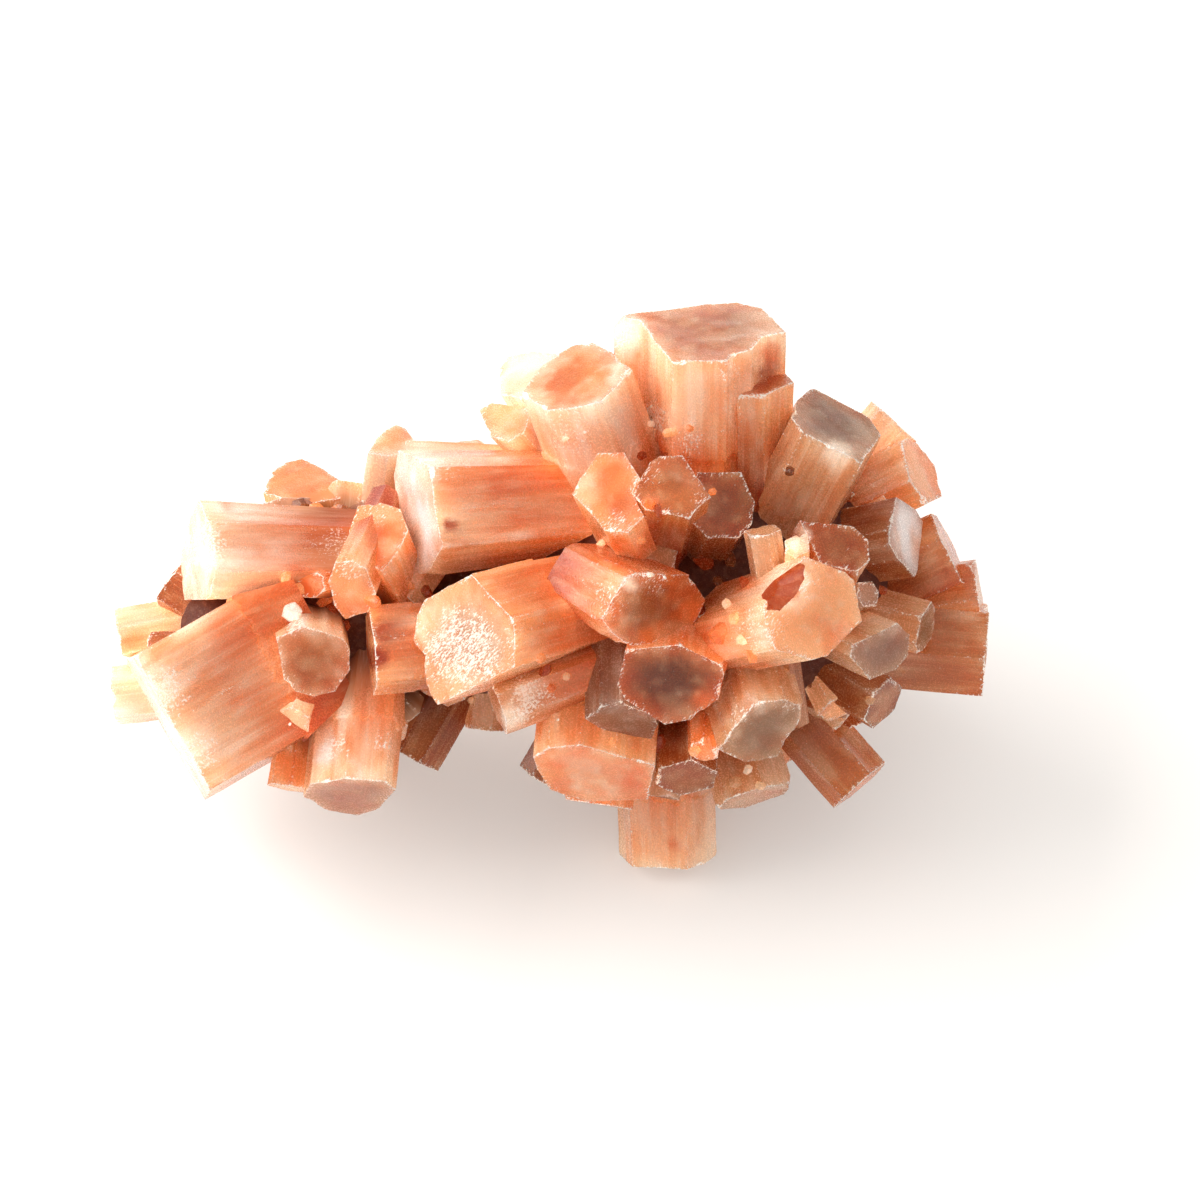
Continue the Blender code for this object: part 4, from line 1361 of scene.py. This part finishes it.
def downright(vector):
    """The reverse of upright."""
    return Matrix.Rotation(math.radians(EYE_ELEVATION - 90), 3, "X") @ vector


def add_crumbs(mesh, collection):
    """The crumbs on the skin that carries them, found along the eye's lines and from the centres."""
    bm = bmesh.new()
    bm.from_mesh(mesh)
    skin = BVHTree.FromBMesh(bm)
    bm.free()
    rng = random.Random(SEED + 4)
    eye = Vector((0, 0, EYE_DISTANCE))
    for i, (across, down, half_width, tint_name) in enumerate(CRUMBS_AND_GLINTS):
        way = place(across, down, 0) - eye
        point, normal, _, _ = skin.ray_cast(upright(eye) - FOOT, upright(way).normalized())
        if point is not None:
            point, normal = downright(point + FOOT), downright(normal)
            crumb_object(f"crumb_{i}", point, normal, half_width, tint_name, rng, collection)
    for number in range(1, WILD_CRUMBS + 1):
        centre = place(*rng.choice((MAIN_CENTRE, LEFT_CENTRE)))
        way = Vector([rng.gauss(0, 1) for _ in range(3)]).normalized()
        far = centre + way * WILD_FROM * SQUARE
        point, normal, _, _ = skin.ray_cast(upright(far) - FOOT, -upright(way))
        half_width = rng.uniform(*WILD_WIDTH)
        tint_name = rng.choice(WILD_COLOURS)
        if point is None or point.z < WILD_GROUND:
            continue
        point, normal = downright(point + FOOT), downright(normal)
        if (point - centre).length < WILD_REACH * SQUARE:
            crumb_object(f"wild_{number}", point, normal, half_width, tint_name, rng, collection)


def evaluated(thing):
    """The mesh that an object's modifiers make of it."""
    bpy.context.view_layer.update()
    graph = bpy.context.evaluated_depsgraph_get()
    return bpy.data.meshes.new_from_object(thing.evaluated_get(graph))


def new_collection(name):
    """An empty collection in the scene."""
    collection = bpy.data.collections.new(name)
    bpy.context.scene.collection.children.link(collection)
    return collection


def remove_collection(collection):
    """Removes a collection with its objects and their meshes."""
    for helper in list(collection.objects):
        old = helper.data
        bpy.data.objects.remove(helper)
        bpy.data.meshes.remove(old)
    bpy.data.collections.remove(collection)


def fuse_cluster():
    """All crystals fused in one skin, with the hollow and the flat feet cut."""
    crystals = new_collection("crystals")
    cutters = new_collection("cutters")
    for crystal in list(seen_crystals()) + list(side_crystals()):
        build_crystal(crystal, FINE, crystals)
    for crystal in list(feet()) + list(back_crystals()) + list(young_crystals()):
        build_crystal(crystal, COARSE, crystals)
    for values in LUMPS[1:]:
        build_lump(*values, crystals)
    heart = build_lump(*LUMPS[0], cutters)
    hollow = build_hollow(cutters)
    ground = build_ground(cutters)
    add_boolean(heart, "UNION", collection=crystals)
    add_boolean(heart, "DIFFERENCE", other=hollow)
    add_boolean(heart, "DIFFERENCE", other=ground)
    mesh = evaluated(heart)
    crumbs = new_collection("crumbs")
    add_crumbs(mesh, crumbs)
    body = bpy.data.objects.new("body", mesh)
    cutters.objects.link(body)
    add_boolean(body, "UNION", collection=crumbs)
    mesh = evaluated(body)
    for collection in (crystals, cutters, crumbs):
        remove_collection(collection)
    bm = bmesh.new()
    bm.from_mesh(mesh)
    outer_skin(bm)
    bm.to_mesh(mesh)
    bm.free()
    mesh.name = "aragonite"
    return mesh


class Nodes:
    """Adds shader nodes to a material and links them."""

    def __init__(self, name):
        self.material = bpy.data.materials.new(name)
        self.material.use_nodes = True
        self.tree = self.material.node_tree
        self.shader = self.tree.nodes["Principled BSDF"]
        self.output = self.tree.nodes["Material Output"]

    def add(self, kind, inputs=(), **settings):
        """A node with its settings and its inputs, which are values or other nodes' outputs."""
        node = self.tree.nodes.new(kind)
        for key, value in settings.items():
            setattr(node, key, value)
        for key, value in dict(inputs).items():
            self.feed(node.inputs[key], value)
        return node

    def feed(self, socket, value):
        """Links an output to a socket, or sets its value."""
        if isinstance(value, bpy.types.NodeSocket):
            self.tree.links.new(value, socket)
        else:
            socket.default_value = value

    def math(self, operation, a, b, clamp=False):
        """The result of an operation on two numbers."""
        node = self.add("ShaderNodeMath", {0: a, 1: b}, operation=operation, use_clamp=clamp)
        return node.outputs[0]

    def times(self, a, b):
        """The product of two numbers."""
        return self.math("MULTIPLY", a, b)

    def plus(self, a, b, clamp=False):
        """The sum of two numbers, kept from 0 to 1 where asked."""
        return self.math("ADD", a, b, clamp)

    def between(self, value, low, high):
        """0 at low, 1 at high, smooth between."""
        inputs = {0: value, 1: low, 2: high}
        return self.add("ShaderNodeMapRange", inputs, interpolation_type="SMOOTHSTEP").outputs[0]

    def mix(self, share, a, b, blend="MIX"):
        """Two colours mixed."""
        node = self.add("ShaderNodeMix", data_type="RGBA", blend_type=blend)
        self.feed(node.inputs[0], share)
        self.feed(node.inputs[6], a)
        self.feed(node.inputs[7], b)
        return node.outputs[2]

    def stretch(self, vector, scale):
        """A place with each of its numbers scaled."""
        node = self.add("ShaderNodeVectorMath", {0: vector, 1: scale}, operation="MULTIPLY")
        return node.outputs[0]

    def noise(self, vector, detail=2.0, roughness=0.5):
        """Smooth noise from 0 to 1."""
        inputs = {"Vector": vector, "Scale": 1.0, "Detail": detail, "Roughness": roughness}
        return self.add("ShaderNodeTexNoise", inputs).outputs[0]


def aragonite_material():
    """Translucent aragonite in the mesh's colours, with fibres, bands, grains and broken rims."""
    n = Nodes("aragonite_stone")
    tint = n.add("ShaderNodeAttribute", attribute_name="tint").outputs["Color"]
    local = n.add("ShaderNodeAttribute", attribute_name="local").outputs["Vector"]
    marks = n.add("ShaderNodeAttribute", attribute_name="marks")
    is_rim = marks.outputs["Alpha"]
    split = n.add("ShaderNodeSeparateColor", {0: marks.outputs["Color"]})
    recess_shade, dust, is_end = split.outputs
    on_side = n.math("SUBTRACT", 1.0, is_end)
    fibre = n.noise(n.stretch(local, FIBRES), detail=0.0)
    band = n.noise(n.stretch(local, BANDS), detail=0.0)
    fine = n.noise(n.stretch(local, SPECKS), detail=0.0)
    grain = n.noise(n.stretch(local, GRAINS), detail=2.0, roughness=0.75)
    lighter = n.add("ShaderNodeGamma", {0: tint, 1: MILKY}).outputs[0]
    bands = n.times(n.between(band, *PALE_BAND), BAND_SHARE)
    streaks = n.plus(bands, n.between(fibre, *PALE_FIBRE))
    base = n.mix(n.times(streaks, n.times(on_side, STREAKED)), tint, lighter)
    grooves = n.times(n.between(band, *GROOVE_BAND), n.times(on_side, GROOVED))
    base = n.mix(grooves, base, GROOVE_TINT, "MULTIPLY")
    dusty = n.between(n.plus(grain, n.times(dust, DUST_HELP)), *DUST_GRAIN)
    base = n.mix(n.times(dusty, DUSTY), base, colour("white"))
    broken = n.times(n.between(fine, *BROKEN_SPECK), BROKEN)
    base = n.mix(n.times(is_rim, broken), base, colour("white"))
    n.feed(n.shader.inputs["Base Color"], base)
    rough = n.plus(SMOOTHEST, n.times(n.between(fine, *ROUGH_SPECK), SPECK_ROUGHER))
    rough = n.plus(rough, n.times(recess_shade, RECESS_ROUGHER), clamp=True)
    rough = n.plus(rough, n.times(dusty, DUST_ROUGHER), clamp=True)
    n.feed(n.shader.inputs["Roughness"], rough)
    n.shader.subsurface_method = "BURLEY"
    for socket, value in STONE.items():
        n.shader.inputs[socket].default_value = value
    height = n.times(fine, n.plus(n.times(dust, DUSTY_HEIGHT), PLAIN_HEIGHT))
    bump = n.add("ShaderNodeBump", {**BUMP, "Height": height})
    n.feed(n.shader.inputs["Normal"], bump.outputs[0])
    depth = n.add("ShaderNodeVolumeAbsorption", ABSORPTION)
    n.tree.links.new(depth.outputs[0], n.output.inputs["Volume"])
    return n.material


def floor_material():
    """Plain pale floor with the faintest unevenness."""
    n = Nodes("floor")
    place_on_floor = n.add("ShaderNodeTexCoord").outputs["Object"]
    shade = n.noise(n.stretch(place_on_floor, FLOOR_CLOUDS), detail=2.0)
    n.feed(n.shader.inputs["Base Color"], n.mix(shade, *FLOOR_TINTS))
    for socket, value in FLOOR.items():
        n.shader.inputs[socket].default_value = value
    return n.material


def add_object(name, data):
    """An object in the scene."""
    thing = bpy.data.objects.new(name, data)
    bpy.context.scene.collection.objects.link(thing)
    return thing


def look_from(thing, eye, target, up=Vector((0, 0, 1))):
    """Puts a camera or light at a point and turns it toward another."""
    back = (eye - target).normalized()
    right = up.cross(back).normalized()
    turn = Matrix((right, back.cross(right), back)).transposed().to_4x4()
    thing.matrix_world = Matrix.Translation(eye) @ turn


def add_camera():
    """The camera where the eye of the drawing is."""
    data = bpy.data.cameras.new("camera")
    data.sensor_width = SENSOR
    data.sensor_height = SENSOR
    data.sensor_fit = "HORIZONTAL"
    data.lens = SENSOR * EYE_DISTANCE / (GRID_SIZE * SQUARE)
    data.clip_start = NEAREST_SEEN
    camera = add_object("camera", data)
    look_from(camera, upright(Vector((0, 0, EYE_DISTANCE))) - FOOT, -FOOT, upright(Vector((0, 1, 0))))
    bpy.context.scene.camera = camera


def add_light(name, eye, size, watts, tint):
    """A soft square light turned toward the cluster."""
    data = bpy.data.lights.new(name, "AREA")
    data.size = size
    data.energy = watts
    data.color = tint
    look_from(add_object(name, data), Vector(eye), LIT)


def add_floor():
    """A wide pale floor under the cluster."""
    bm = bmesh.new()
    bmesh.ops.create_grid(bm, x_segments=1, y_segments=1, size=FLOOR_REACH)
    mesh = bpy.data.meshes.new("floor")
    bm.to_mesh(mesh)
    bm.free()
    mesh.materials.append(floor_material())
    floor = add_object("floor", mesh)


def limit_bounces():
    """As many light bounces as the stone's glow needs, and no more."""
    cycles = bpy.context.scene.cycles
    cycles.max_bounces = MOST_BOUNCES
    cycles.transmission_bounces = MOST_BOUNCES
    cycles.diffuse_bounces = SURFACE_BOUNCES
    cycles.glossy_bounces = SURFACE_BOUNCES
    cycles.volume_bounces = 0


def add_world(tint, strength):
    """Even light from all round."""
    world = bpy.data.worlds.new("studio")
    world.use_nodes = True
    background = world.node_tree.nodes["Background"]
    background.inputs["Color"].default_value = tint
    background.inputs["Strength"].default_value = strength
    bpy.context.scene.world = world


def add_cluster():
    """The fused cluster as one piece in place of the plain solid."""
    mesh = fuse_cluster()
    mesh.materials.clear()
    mesh.materials.append(aragonite_material())
    mesh.shade_smooth()
    mesh.set_sharp_from_angle(angle=math.radians(SHARP))
    cluster = add_object("aragonite_crystals", mesh)
    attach(cluster, "root")
    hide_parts("aragonite_cluster")


add_cluster()
add_floor()
add_world(*WORLD)
add_light("window", *WINDOW)
add_camera()
limit_bounces()
bpy.context.scene.view_settings.view_transform = "Standard"
